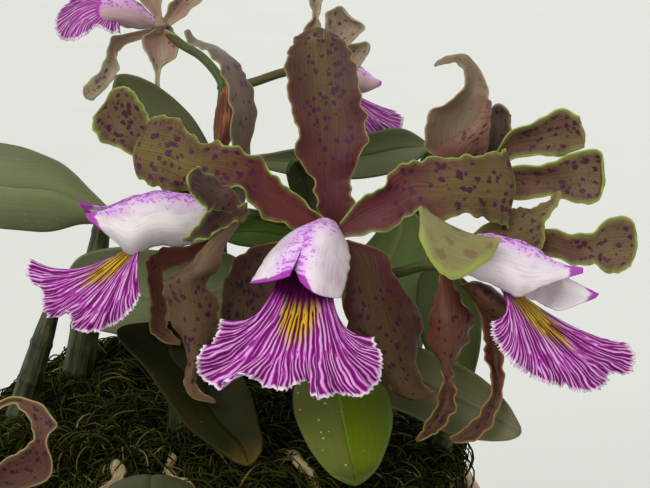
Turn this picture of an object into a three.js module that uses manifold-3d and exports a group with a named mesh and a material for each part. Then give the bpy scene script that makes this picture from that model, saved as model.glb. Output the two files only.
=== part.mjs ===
// A potted Cattleya schilleriana orchid in bloom: spotted brown tepals and frilled purple lips over moss.
// Millimetres, +Z up, origin at the middle of the pot's underside, +Y away from the viewer.
import * as THREE from "three";
import Module from "manifold-3d";

const wasm = await Module();
wasm.setup();
const { Manifold, Mesh: SolidMesh } = wasm;

// Driving dimensions.
const GAP = 0.3;
const POT_HEIGHT = 88;
const POT_TOP_RADIUS = 77;
const POT_BASE_RADIUS = 54;
const POT_WALL = 5;
const RIM_HEIGHT = 16;
const RIM_STEP = 3;
const POT_FLOOR = 7;
const DRAIN_RADIUS = 5;
const DRAIN_RING = 30;
const MIX_TOP = 80;
const MOSS_RADIUS = 71;
const MOSS_SHOULDER = 102;
const MOSS_DOME = 14;
const MOSS_HUMP = 9;
const MOSS_HUMP_PLACE = [-34, 28];
const MOSS_EDGE_HEIGHT = 97;
const POT_SIDES = 30;
const TEPAL_THICKNESS = 0.9;
const LIP_THICKNESS = 0.8;
const LEAF_THICKNESS = 1.6;
const CORE_RADIUS = 2.8;
const FLATNESS = 0.05;

// The plant is laid out as it is seen from a little above: a place is given as millimetres right and up
// across the view at the middle bloom, and millimetres back from it. The view narrows with distance.
const VIEW_POINT = new THREE.Vector3(32, -32, 166);
const VIEW_DISTANCE = 400;
const VIEW_TILT = THREE.MathUtils.degToRad(12);

function seen([right, up, back]) {
  const spread = 1 + back / VIEW_DISTANCE;
  const rise = up * spread;
  return new THREE.Vector3(
    VIEW_POINT.x + right * spread,
    VIEW_POINT.y + rise * Math.sin(VIEW_TILT) + back * Math.cos(VIEW_TILT),
    VIEW_POINT.z + rise * Math.cos(VIEW_TILT) - back * Math.sin(VIEW_TILT),
  );
}

function solidFrom(points, faces) {
  const vertProperties = new Float32Array(points.flatMap((point) => [point.x, point.y, point.z]));
  const triVerts = new Uint32Array(faces.flat());
  return new Manifold(new SolidMesh({ numProp: 3, vertProperties, triVerts }));
}

// The left edge, middle line and right edge of a row of ribs.
function railsOf(ribs) {
  return [0, 1, 2].map((side) => ribs.map((rib) => rib[side]));
}

// A thin blade between three rails: left edge, middle line and right edge.
function blade(rails, options, grow = 0) {
  const { along = 10, across = 4, thickness = TEPAL_THICKNESS, wave = 0, waves = 5 } = options;
  const curves = rails.map((places) => new THREE.CatmullRomCurve3(places.map(seen), false, "centripetal"));
  const at = (s, v) => {
    const [left, middle, right] = curves.map((curve) => curve.getPoint(s));
    return left.multiplyScalar((1 - v) * (1 - 2 * v))
      .add(middle.multiplyScalar(4 * v * (1 - v)))
      .add(right.multiplyScalar(v * (2 * v - 1)));
  };
  const pace = 1 / along;
  const reach = 0.5 / across;
  const headings = (s, v) => {
    const ahead = at(Math.min(1, s + pace), v).sub(at(Math.max(0, s - pace), v)).normalize();
    const over = at(s, Math.min(1, v + reach)).sub(at(s, Math.max(0, v - reach))).normalize();
    return { ahead, over, turn: ahead.clone().cross(over).normalize() };
  };
  const outward = (i, count) => grow * (Number(i === count) - Number(i === 0));
  const front = [];
  const rear = [];
  for (let i = 0; i <= along; i += 1) {
    for (let j = 0; j <= across; j += 1) {
      const s = i / along;
      const v = j / across;
      const edge = (2 * v - 1) ** 2;
      const { ahead, over, turn } = headings(s, v);
      const lift = wave * edge * Math.sin(2 * Math.PI * waves * s + 2 * v) * Math.sin(Math.PI * s);
      const place = at(s, v).add(turn.clone().multiplyScalar(lift))
        .add(ahead.multiplyScalar(outward(i, along)))
        .add(over.multiplyScalar(outward(j, across)));
      const half = turn.multiplyScalar(thickness / 2 + grow);
      front.push(place.clone().add(half));
      rear.push(place.clone().sub(half));
    }
  }
  return solidFrom([...front, ...rear], slabFaces(along, across));
}

// Faces of a slab whose front and rear are the same grid, split alike, with a rim between them.
function slabFaces(along, across) {
  const row = across + 1;
  const rear = (along + 1) * row;
  const faces = [];
  const quad = (a, b, c, d) => faces.push([a, b, c], [a, c, d]);
  for (let i = 0; i < along; i += 1) {
    for (let j = 0; j < across; j += 1) {
      const a = i * row + j;
      const b = a + row;
      quad(a, b, b + 1, a + 1);
      faces.push([rear + a, rear + b + 1, rear + b], [rear + a, rear + a + 1, rear + b + 1]);
    }
    const low = i * row;
    const high = low + across;
    quad(low + row, low, rear + low, rear + low + row);
    quad(high, high + row, rear + high + row, rear + high);
  }
  for (let j = 0; j < across; j += 1) {
    const end = along * row + j;
    quad(j, j + 1, rear + j + 1, rear + j);
    quad(end + 1, end, rear + end, rear + end + 1);
  }
  return faces;
}

// A round stem along places, with one radius for each place.
function stem(places, radii, sides, steps, grow = 0) {
  const path = new THREE.CatmullRomCurve3(places, false, "centripetal");
  const rings = [];
  for (let i = 0; i <= steps; i += 1) {
    const s = i / steps;
    const ahead = path.getTangent(s);
    const side = new THREE.Vector3(0, 1, 0).cross(ahead).normalize();
    const over = ahead.clone().cross(side);
    const slot = s * (radii.length - 1);
    const low = Math.min(radii.length - 2, Math.floor(slot));
    const radius = THREE.MathUtils.lerp(radii[low], radii[low + 1], slot - low) + grow;
    const middle = path.getPoint(s);
    rings.push(Array.from({ length: sides }, (_, k) => {
      const angle = (2 * Math.PI * k) / sides;
      return middle.clone()
        .add(side.clone().multiplyScalar(radius * Math.cos(angle)))
        .add(over.clone().multiplyScalar(radius * Math.sin(angle)));
    }));
  }
  const ends = [0, 1].map((s) => path.getPoint(s).add(path.getTangent(s).multiplyScalar(s ? grow : -grow)));
  const faces = [];
  for (let i = 0; i < steps; i += 1) {
    for (let k = 0; k < sides; k += 1) {
      const next = (k + 1) % sides;
      const a = i * sides + k;
      const b = i * sides + next;
      faces.push([a, b, b + sides], [a, b + sides, a + sides]);
    }
  }
  const first = (steps + 1) * sides;
  for (let k = 0; k < sides; k += 1) {
    const next = (k + 1) % sides;
    faces.push([first, next, k], [first + 1, steps * sides + k, steps * sides + next]);
  }
  return solidFrom([...rings.flat(), ...ends], faces);
}

function lathe(profile, segments) {
  const rings = profile.map(([radius, height]) => ({ radius, height }));
  const points = [];
  const starts = rings.map(({ radius, height }) => {
    const start = points.length;
    const count = radius === 0 ? 1 : segments;
    for (let k = 0; k < count; k += 1) {
      const angle = (2 * Math.PI * k) / segments;
      points.push(new THREE.Vector3(radius * Math.cos(angle), radius * Math.sin(angle), height));
    }
    return start;
  });
  const faces = [];
  for (let i = 0; i < rings.length - 1; i += 1) {
    const [a, b] = [starts[i], starts[i + 1]];
    const [pointA, pointB] = [rings[i].radius === 0, rings[i + 1].radius === 0];
    for (let k = 0; k < segments; k += 1) {
      const next = (k + 1) % segments;
      if (!pointB) faces.push([pointA ? a : a + next, b + k, b + next].reverse());
      if (!pointA) faces.push([a + k, pointB ? b : b + k, a + next].reverse());
    }
  }
  return solidFrom(points, faces);
}

// Places of every piece of the blooms, as ribs of left edge, middle and right edge.
const MIDDLE_BASE = [2, 3.2, 9];
const MIDDLE_DORSAL = [
  [[0.5, 4.5, 9], [2, 4.2, 10], [3.8, 4.5, 9]],
  [[-2.2, 10.2, 8], [2, 10.2, 9], [7.2, 9.8, 8]],
  [[-3, 16, 8], [1.5, 16, 9.5], [6.2, 16, 8]],
  [[-7.2, 23, 7], [1.2, 22.2, 9.5], [10.2, 24, 6]],
  [[-7.2, 30.5, 8], [0.8, 30.5, 10.5], [10, 31.5, 9]],
  [[-9.5, 39, 10], [-0.5, 38, 12.5], [8.8, 39, 11]],
  [[-9.8, 46, 13], [-1.2, 45.5, 14.5], [7, 46.5, 13]],
  [[-8, 50.5, 17], [-1.5, 50, 16], [5, 50.5, 17]],
  [[-5.5, 53.5, 20], [-1.8, 54, 19], [2, 53.2, 20]],
];
const MIDDLE_LEFT_PETAL = [
  [[0.5, 6, 7.5], [0.4, 4.2, 8], [0, 1.8, 7.5]],
  [[-5.8, 11, 6], [-6.2, 7.8, 8], [-8.8, 4.2, 6]],
  [[-11.2, 16, 5], [-13, 11.5, 6.5], [-15.8, 7, 4]],
  [[-17.5, 22, 3], [-18.8, 17, 4.5], [-20.5, 13, 2]],
  [[-24.2, 25, 2], [-25.8, 19.5, 2.5], [-27.8, 13.5, 1]],
  [[-31.8, 26, 2], [-33.2, 19.5, 2], [-34.5, 13, 3]],
  [[-36.8, 31.2, 1], [-39.2, 22.2, 3], [-41.2, 13.8, 4]],
  [[-42, 32, 3], [-44.2, 23.5, 5], [-45.5, 15.8, 6]],
  [[-45.5, 29.2, 7], [-47.5, 24, 8], [-48.8, 19, 9]],
];
const MIDDLE_RIGHT_PETAL = [
  [[3.6, 5.2, 7], [3.8, 3.4, 7.5], [3.8, 1.6, 7]],
  [[9.2, 11.5, 6], [10.2, 7.5, 8], [11.8, 2.5, 6]],
  [[14.8, 15, 3], [16.2, 10.5, 6], [17.8, 4.5, 4]],
  [[19.2, 20, 3], [21.2, 14, 4.5], [23.2, 8, 2]],
  [[25.8, 21.5, 3], [27.8, 14, 3.5], [29.8, 6.2, 2]],
  [[33.2, 21.8, 3], [35.2, 14.5, 4], [36.2, 7.5, 5]],
  [[39.8, 22.5, 4], [40.8, 14.5, 5], [41.8, 5.5, 6]],
  [[45, 23, 7], [45.8, 14.5, 8], [45.8, 5, 9]],
  [[47.5, 20.2, 10], [47.5, 14, 10], [47, 8, 11]],
];
const MIDDLE_RIGHT_SEPAL = [
  [[2.8, 1.4, 7.5], [4.2, 0.8, 8], [5.8, 1, 7.5]],
  [[6, -3.5, 5], [8.8, -3, 7.5], [15.2, -2.5, 8]],
  [[5.2, -10.2, 3], [10.2, -9.5, 4], [17.8, -9, 8]],
  [[5, -17, 2], [12.2, -16.5, 1.5], [23.2, -15.5, 8]],
  [[6.2, -22.5, 2], [14, -23, 0.5], [24, -21.5, 7]],
  [[10.8, -27, 2], [15.8, -28, 0.5], [22.8, -28, 5]],
  [[14.8, -33, 2], [18.8, -33.5, 1], [23.8, -33, 3]],
  [[18.2, -37.5, 2], [21.8, -38, 1.2], [25.8, -36, 2]],
  [[23.8, -39.2, 2], [26.2, -38.8, 2], [28.2, -37.8, 2]],
];
const MIDDLE_LEFT_SEPAL = [
  [[-0.4, 3, 10], [0.4, 1.6, 10], [1.2, 0.4, 10]],
  [[-10, 1, 10], [-7.2, -1.5, 11], [-4.8, -4.5, 9]],
  [[-17.2, -0.5, 11], [-14.2, -4.5, 11], [-10.2, -9, 9]],
  [[-22.2, -3.5, 10], [-18.2, -9, 10], [-13.2, -14, 8]],
  [[-25.2, -9.5, 8], [-20.5, -14, 8], [-15.2, -19, 7]],
  [[-26.2, -17, 6], [-22.2, -19.5, 7], [-17.2, -24, 6]],
  [[-25.8, -22.5, 5], [-22.8, -24, 6], [-19.2, -26.5, 5]],
  [[-24.2, -27, 5], [-22.8, -27.5, 5], [-21.2, -28.5, 5]],
];
const MIDDLE_LIP_LEFT_LOBE = [
  [[-2.5, 4.5, 7], [-1.5, 5.8, 5], [0.5, 6.5, 4]],
  [[-10.2, 1, 4], [-7.8, 3, -2], [-3.8, 4, -4]],
  [[-14.2, -3, 0], [-11.2, -0.8, -7], [-5, 0.8, -9]],
  [[-16.8, -7, -6], [-13.2, -4, -12], [-6.2, -2, -13]],
  [[-18.8, -9.8, -14], [-14, -9.4, -17.2], [-8.8, -8, -18.2]],
];
const MIDDLE_LIP_RIGHT_LOBE = [
  [[-2, 6, 5], [1.2, 6, 4], [3.6, 3.6, 7]],
  [[-5.4, 3, -3.6], [0.8, 4, -3.5], [5.5, 0, 5]],
  [[-6.8, -0.5, -8.6], [-0.2, 0.5, -9.5], [6.2, -3.5, 2]],
  [[-7.8, -4.5, -12.6], [-1.2, -4.5, -14.5], [5.5, -8, -3]],
  [[-6.3, -9.3, -17.4], [-1.8, -12.6, -18], [4, -13.5, -9]],
];
const MIDDLE_LIP_THROAT = [[-11, -6.5, -9], [2, -7.6, -6]];
const MIDDLE_LIP_RIM = [
  [-26.5, -18.5, -19],
  [-28.2, -24, -15],
  [-32.2, -28, -20],
  [-31.8, -33, -15],
  [-26.5, -36.2, -22],
  [-22.2, -32.5, -27],
  [-15.8, -35.5, -22],
  [-10.2, -37.2, -28],
  [-4, -34.2, -23],
  [-1.8, -39, -28],
  [3.8, -37.8, -21],
  [9.2, -38.5, -25],
  [13.8, -34.5, -17],
  [14.8, -28.5, -21],
  [12.5, -24, -15],
];
const MIDDLE_LIP_MIDDLE = [
  [-17, -17.4, -15],
  [-17.6, -21.2, -16.5],
  [-15.5, -24.4, -18.5],
  [-11.2, -26.2, -21.5],
  [-5.5, -26.5, -22],
  [0, -25.5, -21],
  [3.6, -23.4, -18],
  [4, -19.8, -14],
];
const MIDDLE_COLUMN = [[1.5, 2.5, 4], [-1, -1.5, -3], [-4.5, -8, -9]];

const LEFT_BASE = [-21.2, 7.8, 2];
const LEFT_DORSAL = [
  [[-22.6, 9.2, 2], [-21.5, 9.6, 3.5], [-20.4, 9.2, 5]],
  [[-24, 16, 6], [-21.5, 16.5, 9], [-19, 16, 12]],
  [[-23.5, 25, 7], [-21.5, 24.5, 10], [-18.8, 23, 13]],
  [[-23.5, 33.8, 4], [-20.5, 34, 10], [-17.2, 33.8, 14]],
  [[-24.8, 40.5, 4], [-21.8, 41, 10], [-19, 40.5, 14]],
  [[-27.5, 46, 4], [-24.8, 46.8, 9], [-22.2, 45.5, 13]],
  [[-30.5, 48.8, 4], [-28.8, 49.5, 8], [-26.8, 49, 11]],
  [[-34, 50, 5], [-33, 50.8, 7], [-32, 51, 9]],
  [[-35.2, 53, 5], [-34.8, 53.5, 6], [-34.2, 53.8, 7.5]],
];
const LEFT_FAR_PETAL = [
  [[-22, 9, 3], [-22.6, 8, 4], [-23, 6.6, 4]],
  [[-30, 13.5, 8], [-30.5, 11, 9], [-31.2, 8.5, 8]],
  [[-37.2, 21, 11], [-39, 19, 13], [-41.2, 16.5, 12]],
  [[-42.2, 28.5, 13], [-46.2, 25, 14], [-50.8, 23.5, 13]],
  [[-44.8, 33, 12], [-50.2, 30.5, 14], [-56.8, 26.5, 12]],
  [[-47.8, 38, 11], [-52.2, 35, 13], [-58.2, 30.5, 12]],
  [[-51.8, 40.2, 11], [-53.8, 38, 12], [-55.5, 34.8, 12]],
];
const LEFT_NEAR_PETAL_UPPER = [
  [[-20.8, 10, -0.5], [-21.6, 8.8, -1], [-22.2, 7.5, -1]],
  [[-23.8, 13.8, -6], [-24.2, 11, -11], [-25.2, 8.2, -9]],
  [[-28, 16.5, -9], [-28, 12.2, -14], [-29, 8.5, -15]],
  [[-31.2, 18.8, -13], [-31.5, 15, -16], [-32.2, 11.2, -19]],
  [[-33.8, 19, -16], [-34.5, 16.8, -18], [-34.8, 14.2, -20]],
];
const LEFT_NEAR_PETAL_LOWER = [
  [[-19.5, 10.5, -0.5], [-19.8, 8.2, -1], [-20, 6, -1]],
  [[-23.2, 9.5, -6], [-23, 7.5, -5], [-23.2, 5.2, -6]],
  [[-28.5, 9, -12], [-27.2, 5.8, -10], [-26.8, 3.2, -12]],
  [[-32, 4.5, -18], [-30.5, 2.8, -16], [-30, 1.2, -17]],
  [[-35.8, 1, -22], [-35.2, 0.8, -22], [-34.5, 0.5, -21]],
];
const LEFT_NEAR_SEPAL = [
  [[-23, 6.4, 1], [-22, 5.6, 1.5], [-21, 5.6, 2.5]],
  [[-30, -0.5, -3], [-27.8, -1.5, -5], [-25.8, -2, -2]],
  [[-34.8, -5.8, -4], [-30.8, -6, -7], [-26.2, -5.5, -3]],
  [[-39.8, -9, -3], [-35, -9.5, -7], [-29.8, -9.5, -3]],
  [[-40, -14, -2], [-34.2, -14.5, -6], [-27, -14.5, -2]],
  [[-37.5, -21, -2], [-32.2, -21, -5], [-27, -20.5, -2]],
  [[-34.2, -27.8, -2], [-32.5, -28.5, -4], [-30.8, -28, -2]],
  [[-35.2, -33.5, -3], [-33.8, -33.8, -4], [-32.2, -33, -3]],
  [[-33.8, -38, -4], [-32.5, -37.2, -4], [-31.5, -36.2, -4]],
  [[-27.8, -40, -4], [-27.2, -39.5, -4], [-27.5, -38.8, -4]],
];
const LEFT_FAR_SEPAL = [
  [[-22.6, 6.6, 4], [-22.2, 5.6, 4.5], [-21.8, 5, 5]],
  [[-32.5, 0, 5], [-32.2, -1.5, 6], [-31.8, -3.5, 6]],
  [[-40, -1, 6], [-39.2, -3.5, 7], [-38.2, -6, 7]],
  [[-44.2, -3.5, 6], [-42.5, -5.5, 7], [-40.5, -7, 7]],
  [[-44.5, -9, 6], [-42.5, -10, 7], [-40, -10.5, 7]],
  [[-43.5, -15.2, 6], [-42, -15.5, 7], [-39.2, -15.5, 7]],
  [[-44, -20.5, 5], [-42, -20.5, 6], [-39.5, -20.2, 6]],
  [[-41.2, -24.2, 4], [-39.8, -23, 5], [-38.2, -22.2, 5]],
  [[-36, -25.5, 4], [-36, -25, 4], [-35.8, -24.5, 4]],
];
const LEFT_LIP_NEAR_LOBE = [
  [[-22.4, 8.4, 0.5], [-22.4, 6.9, -0.5], [-22.6, 5.6, 1]],
  [[-30, 10.8, -1], [-29.8, 6, -6], [-29.8, 1, 0]],
  [[-36.2, 12.5, 0], [-36.2, 6, -8.5], [-35.8, -0.5, -2]],
  [[-42.5, 13, 0], [-42.5, 6, -9.5], [-42.2, -0.5, -3]],
  [[-48.8, 11.2, -1], [-48.2, 4, -10], [-48.8, -2.8, -5]],
  [[-55.2, 8.5, -3], [-53.8, 5.5, -8], [-51.8, 0, -8]],
  [[-59.8, 7.5, -5], [-59.2, 6.2, -7], [-57.2, 4.5, -8]],
];
const LEFT_LIP_FAR_LOBE = [
  [[-22.4, 8.6, 0], [-22.4, 7, 2], [-22.6, 5.8, 1.5]],
  [[-30, 11, -1.5], [-29.8, 6, 5], [-29.8, 1, 1]],
  [[-36.2, 12.8, -0.5], [-36.2, 6, 7], [-35.8, 0, 2]],
  [[-42.5, 13.2, -0.5], [-42.5, 6, 8], [-42.2, 0, 3]],
  [[-48.8, 11.6, -1.5], [-48.8, 5, 8.5], [-48.8, -1, 5]],
  [[-55.2, 9.4, -2], [-54.5, 6.5, 7], [-53, 3, 7]],
  [[-61.8, 10.8, 1], [-61, 9.5, 3], [-59.5, 8, 4]],
];
const LEFT_LIP_THROAT = [[-46, 1, 0], [-46, -0.6, -5]];
const LEFT_LIP_RIM = [
  [-74, -3.2, 4],
  [-75, -7.8, 1],
  [-71.2, -11.5, -2],
  [-71, -16, -2],
  [-68.8, -18.5, -3],
  [-64.2, -16.8, -7],
  [-63.2, -21, -5],
  [-59, -22.5, -9],
  [-53.6, -21, -8],
  [-48.2, -17.2, -10],
  [-45.8, -13, -8],
];
const LEFT_LIP_MIDDLE = [
  [-61.5, -6.2, 0.5],
  [-62, -9.5, -3],
  [-60, -12.5, -6],
  [-56.5, -14, -8],
  [-51.5, -12.2, -9],
  [-46.9, -7.2, -7],
];
const LEFT_COLUMN = [[-23.5, 7.4, 0.8], [-33, 8, -0.5], [-43, 7, -0.5]];

const RIGHT_BASE = [30.4, -5.6, 5];
const RIGHT_NEAR_PETAL = [
  [[29.6, -5.2, 3], [24.5, 8, -12], [24, 7.2, -14]],
  [[30, -5.2, 2.6], [27.2, 6.8, -12], [23.8, 1, -17]],
  [[30.4, -5.2, 2.4], [30.2, 5, -12], [27.8, -6, -18]],
  [[31, -5, 2.2], [33.2, 3.5, -12], [31.2, -8.8, -18]],
  [[31.6, -4.8, 2.2], [36.8, 2.2, -12], [37.2, -6.8, -17]],
  [[32.2, -4.4, 2.2], [40.5, 1.5, -12], [41.8, -3, -16]],
  [[32.8, -4, 2.2], [43, 0.8, -12], [43.2, 0.2, -14]],
];
const RIGHT_FAR_PETAL = [
  [[31, -3.6, 7], [31.6, -4.6, 7.5], [32, -5.6, 7]],
  [[43.8, 2, 11], [43.8, -1.5, 13], [43.8, -5, 12]],
  [[55, 4, 12], [55.5, 0.5, 13], [56.2, -3, 12]],
  [[62, 2.5, 10], [62.2, -1.5, 11], [62.8, -5.5, 10]],
  [[66.8, 3.2, 8], [67, -0.8, 9], [67.2, -5.2, 8]],
  [[71.8, 6.8, 7], [71.8, -0.2, 8], [71.8, -7.5, 7]],
  [[76.8, 6, 5], [76.8, 0, 6], [75.8, -6, 5]],
  [[78, 2, 5], [78, -0.5, 5], [77.8, -2.5, 5]],
];
const RIGHT_DORSAL = [
  [[30, -3.2, 7], [31, -3.8, 7.5], [31.8, -4.6, 6.5]],
  [[40, 4.8, 12], [41.8, 2.2, 10], [43.8, 0.2, 8.5]],
  [[46.8, 9, 14], [49.2, 5.5, 11], [54.5, -0.8, 8.5]],
  [[50.8, 8.8, 14], [52.5, 7.5, 11.5], [55, 5, 9.5]],
  [[55.8, 10.8, 13.5], [56.8, 10.2, 12], [57.8, 9.2, 11]],
  [[58, 13, 13], [58.8, 13.2, 12], [59.5, 12.5, 12]],
];
const RIGHT_NEAR_SEPAL = [
  [[28.8, -6.6, 4.5], [30, -7.4, 5], [31.4, -7.6, 5]],
  [[27.8, -13, 2], [30.8, -13.5, 0], [33.8, -13.5, 3]],
  [[26, -20.2, 2], [31.2, -19, -2], [37.2, -19, 2]],
  [[26, -24.5, 3], [30.8, -25.5, 0], [35.2, -24.5, 4]],
  [[29.2, -31.5, 3], [30.2, -32.2, 3], [31.5, -32.5, 4]],
  [[28.8, -37, 4], [30.8, -37.5, 6], [32.8, -37.8, 4]],
  [[27, -41.8, 3], [29.2, -42.2, 5], [32, -42.5, 3]],
  [[24.2, -46.5, 2], [26, -47, 3], [27.8, -47.2, 2]],
  [[22.5, -49, 1], [23, -49.2, 1], [23.8, -49.2, 1]],
];
const RIGHT_FAR_SEPAL = [
  [[32, -7, 7], [33, -7.6, 8], [34, -8.4, 8]],
  [[37.2, -14, 7], [39.8, -15, 8], [42.2, -15.5, 8]],
  [[39.8, -22.8, 6], [41.8, -23.2, 8], [43.8, -23.5, 7]],
  [[40, -27.8, 5], [42.2, -28.5, 8], [44.5, -29, 6]],
  [[41.8, -35.2, 5], [43, -36.2, 7], [44.5, -36.5, 6]],
  [[38.8, -42, 4], [40.5, -43.5, 6], [41.8, -45, 5]],
  [[34.2, -46.5, 3], [35.8, -48, 4], [37.2, -49.2, 3]],
  [[30.8, -48.5, 2], [31.2, -49, 2], [31.8, -49.8, 2]],
];
const RIGHT_FAR_SEPAL_FOLD = [
  [[34, -10, 7], [35, -11, 8], [36, -12, 8]],
  [[38.8, -9.5, 3], [38.2, -12, -1], [37.6, -14.5, 5]],
  [[44.2, -12.6, 2], [43.2, -15, -2], [41.2, -18.5, 3]],
  [[47.8, -15.6, 2], [46.8, -17, 0], [44.8, -19, 2]],
];
const RIGHT_LIP_NEAR_LOBE = [
  [[31.6, -4, 3.5], [31.8, -5.2, 2.6], [31.6, -6.4, 3]],
  [[38.5, 2.2, -4], [37.8, -3, -10.5], [37.8, -8.5, -6]],
  [[45, 1.5, -4], [44.5, -4.5, -12], [43.8, -11, -8]],
  [[51.2, -0.5, -4], [50, -6.5, -12], [48.2, -13.2, -10]],
  [[55.5, -3.2, -5], [54.5, -7, -11], [53.2, -11, -12]],
  [[59.2, -5, -6], [59.2, -7, -10], [58.8, -9, -12]],
  [[64.2, -6, -8], [64.5, -6.5, -9], [64.5, -7.2, -10]],
];
const RIGHT_LIP_FAR_LOBE = [
  [[31.6, -3.8, 3], [31.8, -5, 5], [31.6, -6.2, 4]],
  [[38.5, 2.5, -4.5], [38.5, -3, 4], [38, -8.5, 0]],
  [[45, 1.8, -4.5], [45, -4, 5], [44, -10, 1]],
  [[51.2, -0.1, -4.5], [51.5, -6, 5], [50, -13, 1]],
  [[55.5, -3, -4], [57, -8, 4], [54, -14.8, 0]],
  [[60, -8, 0], [60.5, -11.5, 1], [58, -16.5, -3]],
  [[68.5, -12.5, 0], [68, -13, -0.5], [67, -13.8, -1]],
];
const RIGHT_LIP_THROAT = [[46, -10.5, -1], [44, -11, -5]];
const RIGHT_LIP_RIM = [
  [75.8, -25, 4],
  [78, -27.5, 2],
  [77, -32.2, 1],
  [71.8, -32.8, -2],
  [70.2, -35.8, -3],
  [64.5, -37.5, -9],
  [58.2, -35.5, -8],
  [54.8, -35.5, -13],
  [50.8, -33, -11],
  [47.8, -31.8, -14],
  [43.8, -27.5, -11],
  [41.2, -23.5, -13],
  [40.8, -19.5, -9],
];
const RIGHT_LIP_MIDDLE = [
  [61.5, -20.6, 2],
  [62, -24.5, -2],
  [60, -27, -6],
  [55.5, -27.5, -10],
  [50.5, -25.5, -12],
  [47, -21.5, -11],
  [45.5, -17, -8],
];
const RIGHT_COLUMN = [[32.6, -5, 4], [41, -3.5, -3], [49, -7, -4]];

const BACK_RIGHT_BASE = [37.6, 16, 21];
const BACK_RIGHT_CURL = [
  [[36, 18, 19], [37, 18, 21], [38.4, 18, 19]],
  [[25.2, 24, 15], [31.8, 23, 20], [38.8, 23.5, 17]],
  [[25.2, 28.5, 14], [31.2, 28, 20], [39.8, 27, 17]],
  [[26.2, 33, 14], [32.5, 32.2, 20], [40.5, 33, 17]],
  [[32.5, 36.5, 14], [35.8, 37, 19], [41, 36.5, 17]],
  [[35.2, 41.5, 15], [37.2, 42, 18], [40, 41, 17]],
  [[33.2, 45, 14], [34.5, 46, 15], [36.2, 46.8, 16]],
  [[29.8, 45, 12], [30.2, 46, 12], [31, 47.2, 13]],
  [[27, 44.2, 11], [27.5, 44.8, 11], [28, 45.8, 11]],
];
const BACK_RIGHT_STRAP = [
  [[38, 18, 23], [38.6, 18, 24], [39.4, 18, 23]],
  [[40.8, 26.5, 22], [43, 26.5, 24], [45.8, 26, 22]],
  [[40.8, 31.5, 22], [43.2, 32, 24], [46.5, 31, 22]],
  [[41.5, 34.2, 21], [43.5, 35, 22], [45.8, 34, 21]],
];
const BACK_RIGHT_UPPER = [
  [[39.4, 18, 20], [39.6, 17, 21], [39.8, 16, 20]],
  [[46.8, 28.2, 17], [47.2, 25, 20], [47.8, 21.5, 19]],
  [[53, 30.8, 16], [53.8, 26.5, 19], [54, 22, 18]],
  [[58.8, 33.8, 15], [59.2, 28, 17], [58.8, 22, 17]],
  [[63.2, 32.2, 14], [63.2, 28.5, 15], [64.5, 24, 15]],
  [[64, 30.5, 14], [64.8, 28, 14], [65.8, 24.8, 14]],
];
const BACK_RIGHT_LOWER = [
  [[39.2, 16.5, 19], [39.4, 15.2, 20], [39.2, 14, 19]],
  [[46.2, 19.2, 16], [46.8, 15.5, 18], [47, 11, 17]],
  [[53, 19.8, 15], [54, 16, 17], [54.5, 11.8, 15]],
  [[57.8, 20.8, 14], [58.8, 16.5, 16], [59.2, 11.5, 15]],
  [[63.8, 23.4, 13], [64.5, 17.2, 15], [64.8, 9.8, 14]],
  [[68.8, 23.2, 12], [69, 17, 14], [68.5, 11.2, 12]],
  [[69.2, 18.5, 12], [69.8, 15.8, 12], [69.5, 13.5, 12]],
];

const BACK_LEFT_BASE = [-40, 53.6, 63.5];
const BACK_LEFT_CORE = [-41.4, 54.8, 60.6];
const BACK_LEFT_HANGING = [
  [[-42.4, 54, 59.5], [-41.2, 53.8, 60.5], [-39.8, 53.6, 59.5]],
  [[-45.5, 51.5, 58], [-41, 51, 62], [-36.5, 51.5, 58]],
  [[-44.2, 46.5, 57], [-41, 46, 60], [-37.5, 47, 57]],
  [[-42.5, 43.5, 57], [-41.8, 43.2, 58], [-41, 43.8, 57]],
  [[-42.5, 38.5, 57], [-42, 38, 57.5], [-41.5, 38.5, 57]],
];
const BACK_LEFT_DROOPING = [
  [[-42.6, 54, 60.5], [-42.6, 53, 61.5], [-42.6, 52.4, 61.5]],
  [[-50, 52.5, 59.5], [-50.5, 51, 61], [-51, 49, 59.5]],
  [[-53.8, 51, 57], [-53, 49, 59], [-52, 46.5, 57]],
  [[-54.8, 46, 56], [-53.2, 44.5, 58], [-51.8, 43, 57]],
  [[-58.2, 41.5, 56], [-56.5, 40, 57], [-54.8, 39, 57]],
  [[-61.2, 38.5, 56], [-60.2, 36.8, 57], [-58.8, 35, 57]],
];
const BACK_LEFT_RISING = [
  [[-40.6, 56, 60.5], [-39.8, 55.2, 61], [-39, 54.4, 60.5]],
  [[-38.2, 60.5, 58], [-36.5, 59, 61], [-34.5, 57.5, 58]],
  [[-35.2, 64.5, 58], [-33, 63, 61], [-30.8, 61.5, 58]],
  [[-29.8, 66, 60], [-29.2, 65.5, 60], [-28.8, 64.8, 60]],
];
const BACK_LEFT_DORSAL = [
  [[-42.2, 56.4, 61], [-41.6, 56.8, 62], [-40.8, 56.8, 61.5]],
  [[-47.2, 62.5, 61], [-44.2, 63.5, 64], [-41.2, 64, 61]],
  [[-48.8, 68.5, 60], [-45.8, 69.5, 63], [-42.2, 70, 60]],
  [[-46.8, 74, 60], [-45.8, 74.5, 61], [-44.8, 74.2, 60]],
];
const BACK_LEFT_HOOD = [
  [[-42, 56, 60], [-42.6, 55.2, 59], [-42.4, 54.2, 60]],
  [[-47, 60.5, 60], [-47.5, 57, 55], [-47.5, 53.8, 58.5]],
  [[-52.5, 61.8, 60], [-52.5, 58, 54], [-52, 54.8, 57]],
  [[-57, 60.5, 59], [-57, 58, 55], [-56.5, 55, 56]],
];
const BACK_LEFT_THROAT = [[-51, 57.5, 57.5], [-51.5, 60.5, 59.5]];
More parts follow.
